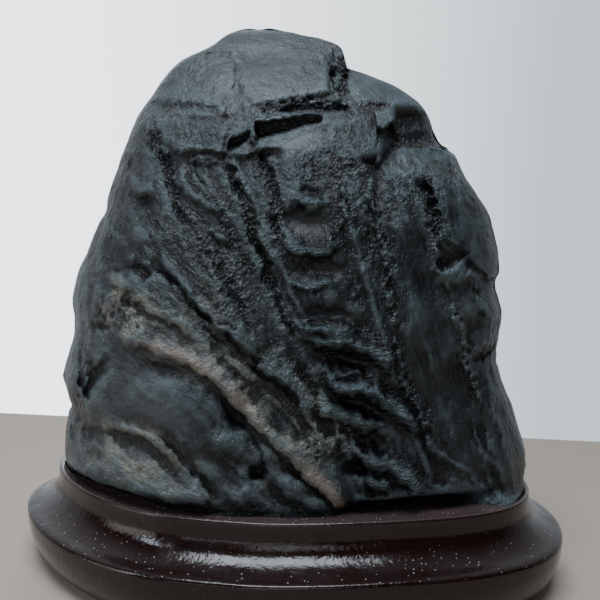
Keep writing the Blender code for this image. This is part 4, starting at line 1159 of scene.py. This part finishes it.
def red_brown_lacquer():
    """Carved hardwood under thick red-brown lacquer: nearly black, glossy, with soft waves.

    Dust lies on what faces up, and a thin dull layer of dust on the sheltered top inside the lip,
    whose pale colour also lifts the shadow under the stone's overhang: partly dust, partly painted
    light. The peel of the lacquer and the dust, 1.7 and 1.5 mm, are drawn coarse, so that they show.
    """
    material, tree, output = new_material("red_brown_lacquer_on_wood")
    place = add_node(tree, "ShaderNodeTexCoord").outputs["Object"]
    grain_place = add_node(tree, "ShaderNodeMapping", {"Vector": place, "Scale": (0.12, 1.0, 1.0)})
    facing = add_node(tree, "ShaderNodeSeparateXYZ", {
        0: add_node(tree, "ShaderNodeNewGeometry").outputs["Normal"]})
    height = add_node(tree, "ShaderNodeSeparateXYZ", {0: place})
    flecks = add_node(tree, "ShaderNodeTexVoronoi", {"Vector": place, "Scale": per_metre(1.5)})
    made = {"distance": flecks.outputs["Distance"], "up": facing.outputs["Z"], "z": height.outputs["Z"]}
    # Noises: where they are read, length in millimetres, detail and roughness.
    for name, at, length, detail, roughness in (
            ("grain", grain_place.outputs[0], 2.4, 5.0, 0.6), ("waves", place, 22, 2.0, 0.5),
            ("peel", place, 1.7, 2.0, 0.6), ("smear", place, 14, 5.0, 0.65)):
        made[name] = add_node(tree, "ShaderNodeTexNoise", {
            "Vector": at, "Scale": per_metre(length), "Detail": detail,
            "Roughness": roughness}).outputs["Fac"]
    # Shares: where each starts and ends in its source, and how strong it is there.
    for name, source, low, high, at_low, at_high in (
            ("fleck", "distance", 0.1, 0.2, 1.0, 0.0), ("upward", "up", 0.55, 0.95, 0.12, 1.0),
            ("inside", "z", 33.0 * MM, 35.0 * MM, 0.06, 0.6), ("haze", "smear", 0.35, 0.75, 0.1, 0.3)):
        made[name] = add_node(tree, "ShaderNodeMapRange", {
            0: made[source], 1: low, 2: high, 3: at_low, 4: at_high}).outputs[0]
    some = add_node(tree, "ShaderNodeMath", {
        0: flecks.outputs["Color"], 1: 0.62}, operation="GREATER_THAN")
    fallen = add_node(tree, "ShaderNodeMath", {
        0: made["fleck"], 1: made["upward"]}, operation="MULTIPLY")
    dust = add_node(tree, "ShaderNodeMath", {
        0: fallen.outputs[0], 1: some.outputs[0]}, operation="MULTIPLY")
    # Dull dust on the top inside the lip, pale enough to lift the shadow under the stone's overhang:
    # partly real dust, partly painted light.
    dust_film_and_painted_light = add_node(tree, "ShaderNodeMath", {
        0: made["upward"], 1: made["inside"]}, operation="MULTIPLY")
    colour = linear_colour("#0e0504")
    for share, code in (
            (made["grain"], "#200c0a"), (dust_film_and_painted_light.outputs[0], "#5a4b4c"), (dust.outputs[0], "#a8a39c")):
        colour = add_node(tree, "ShaderNodeMix", {
            0: share, 6: colour, 7: linear_colour(code)}, data_type="RGBA").outputs[2]
    long_waves = add_node(tree, "ShaderNodeBump", {
        "Strength": 0.5, "Distance": 1.2 * MM, "Height": made["waves"]})
    skin = add_node(tree, "ShaderNodeBump", {
        "Strength": 0.6, "Distance": 0.22 * MM, "Height": made["peel"],
        "Normal": long_waves.outputs["Normal"]})
    gloss = add_node(tree, "ShaderNodeMath", {0: made["haze"], 1: dust.outputs[0]})
    shader = add_node(tree, "ShaderNodeBsdfPrincipled", {
        "Base Color": colour, "Roughness": gloss.outputs[0], "IOR": 1.45,
        "Normal": skin.outputs["Normal"]})
    tree.links.new(shader.outputs["BSDF"], output.inputs["Surface"])
    return material


def pale_floor_paint():
    """Matt pale paint of the plain floor: a soft warm grey."""
    material, tree, output = new_material("pale_floor_paint")
    shader = add_node(tree, "ShaderNodeBsdfPrincipled", {
        "Base Color": linear_colour("#b3a597"), "Roughness": 0.6})
    tree.links.new(shader.outputs["BSDF"], output.inputs["Surface"])
    return material


# The floor ends not far behind the stand and is wide elsewhere.
FLOOR_BACK = 205.0
FLOOR_REACH = 1600.0
FLOOR_Z = -0.05


def make_floor():
    """Plain pale floor, a flat sheet just under the stand's foot."""
    corners = ((-FLOOR_REACH, -FLOOR_REACH, FLOOR_Z), (FLOOR_REACH, -FLOOR_REACH, FLOOR_Z),
               (FLOOR_REACH, FLOOR_BACK, FLOOR_Z), (-FLOOR_REACH, FLOOR_BACK, FLOOR_Z))
    mesh = bpy.data.meshes.new("floor")
    mesh.from_pydata((np.array(corners) * MM).tolist(), [], [(0, 1, 2, 3)])
    piece = bpy.data.objects.new("floor", mesh)
    bpy.context.scene.collection.objects.link(piece)
    piece.data.materials.append(pale_floor_paint())


def make_camera():
    """Camera at the viewer's eye, with the picture's field of view."""
    right, up, forward = eye_axes()
    data = bpy.data.cameras.new("camera")
    data.lens = LENS_MM
    data.sensor_width = SENSOR_MM
    data.clip_start = 0.01
    data.dof.use_dof = False
    camera = bpy.data.objects.new("camera", data)
    bpy.context.scene.collection.objects.link(camera)
    turn = Matrix(np.column_stack((right, up, -forward)).tolist()).to_4x4()
    camera.matrix_world = Matrix.Translation(Vector(EYE * MM)) @ turn
    bpy.context.scene.camera = camera


def soft_light(name, place, aim, width, height, watts, colour):
    """Soft box: an area light of that size, in millimetres, aimed at a point."""
    data = bpy.data.lights.new(name, "AREA")
    data.shape = "RECTANGLE"
    data.size = width * MM
    data.size_y = height * MM
    data.energy = watts
    data.color = linear_colour(colour)[:3]
    light = bpy.data.objects.new(name, data)
    bpy.context.scene.collection.objects.link(light)
    light.location = Vector(place) * MM
    light.rotation_euler = (Vector(aim) - Vector(place)).to_track_quat("-Z", "Y").to_euler()


# Lights: name, place and aim, width and height in millimetres, watts and colour.
LIGHTS = (
    ("overhead", (-40, -330, 1120), (0, 0, 100), 700, 480, 15.5, "#e6eff8"),
    ("front", (120, -900, 430), (40, 0, 50), 500, 200, 0.8, "#eef2f6"),
    ("low_front", (-40, -430, 90), (30, -20, 36), 320, 70, 0.12, "#e8f0fa"),
    ("low_left", (-480, -300, 110), (-60, -30, 40), 260, 180, 0.35, "#fff6ee"),
    ("window", (-900, -700, 700), (0, 0, 60), 200, 420, 3.0, "#e4efff"),
)

# Strength of the room's light on surfaces, in reflections and seen past the object, and of the
# bright patch that the lacquer mirrors, with its direction and the cosines of its rim.
ROOM_STRENGTH = 0.6
MIRRORED_STRENGTH = 1.8
SEEN_STRENGTH = 3.9
GLOW_STRENGTH = 4.0
GLOW_DIRECTION = (-0.3, 0.84, 0.45)
GLOW_RIM = (0.95, 0.985)


def make_studio():
    """Soft daylight studio: a broad light overhead, four weak ones in front and at the left.

    The room is pale behind the object, dark on the viewer's side, and has one bright patch.
    """
    for light in LIGHTS:
        soft_light(*light)
    world = bpy.data.worlds.new("pale_room")
    world.use_nodes = True
    bpy.context.scene.world = world
    tree = world.node_tree
    tree.nodes.clear()
    direction = add_node(tree, "ShaderNodeTexCoord").outputs["Generated"]
    parts = add_node(tree, "ShaderNodeSeparateXYZ", {0: direction})
    toward_glow = add_node(tree, "ShaderNodeVectorMath", {
        0: direction, 1: GLOW_DIRECTION}, operation="DOT_PRODUCT")
    ray = add_node(tree, "ShaderNodeLightPath")
    is_seen = ray.outputs["Is Camera Ray"]
    depth, side, along_wall, glow, mirrored = (
        add_node(tree, "ShaderNodeMapRange", {
            0: source, 1: low, 2: high, 3: at_low, 4: at_high}).outputs[0]
        for source, low, high, at_low, at_high in (
            (parts.outputs["Y"], -0.15, 0.75, 0.0, 1.0), (parts.outputs["X"], -0.7, 0.7, 0.0, 1.0),
            (parts.outputs["X"], -0.45, 0.25, 0.0, 1.0),
            (toward_glow.outputs["Value"], *GLOW_RIM, 0.0, GLOW_STRENGTH),
            (ray.outputs["Is Glossy Ray"], 0.0, 1.0, ROOM_STRENGTH, MIRRORED_STRENGTH)))
    wall = add_node(tree, "ShaderNodeMix", {
        0: side, 6: linear_colour("#bcc4ca"), 7: linear_colour("#8f969a")}, data_type="RGBA")
    room = add_node(tree, "ShaderNodeMix", {
        0: depth, 6: linear_colour("#242527"), 7: wall.outputs[2]}, data_type="RGBA")
    backdrop = add_node(tree, "ShaderNodeMix", {
        0: along_wall, 6: linear_colour("#e0e6ec"), 7: linear_colour("#7f878b")}, data_type="RGBA")
    seen = add_node(tree, "ShaderNodeMix", {
        0: is_seen, 6: room.outputs[2], 7: backdrop.outputs[2]}, data_type="RGBA")
    glowing = add_node(tree, "ShaderNodeMath", {0: mirrored, 1: glow})
    strength = add_node(tree, "ShaderNodeMapRange", {
        0: is_seen, 1: 0.0, 2: 1.0, 3: glowing.outputs[0], 4: SEEN_STRENGTH})
    background = add_node(tree, "ShaderNodeBackground", {
        "Color": seen.outputs[2], "Strength": strength.outputs[0]})
    output = add_node(tree, "ShaderNodeOutputWorld")
    tree.links.new(background.outputs[0], output.inputs[0])


def dress(piece, node, material):
    """Puts a fine piece in place of its solid, in its finish."""
    piece.data.materials.append(material)
    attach(piece, "root")
    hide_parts(node)


dress(make_stone(), "stone", water_worn_slate())
dress(make_stand(), "stand", red_brown_lacquer())
make_floor()
make_studio()
make_camera()
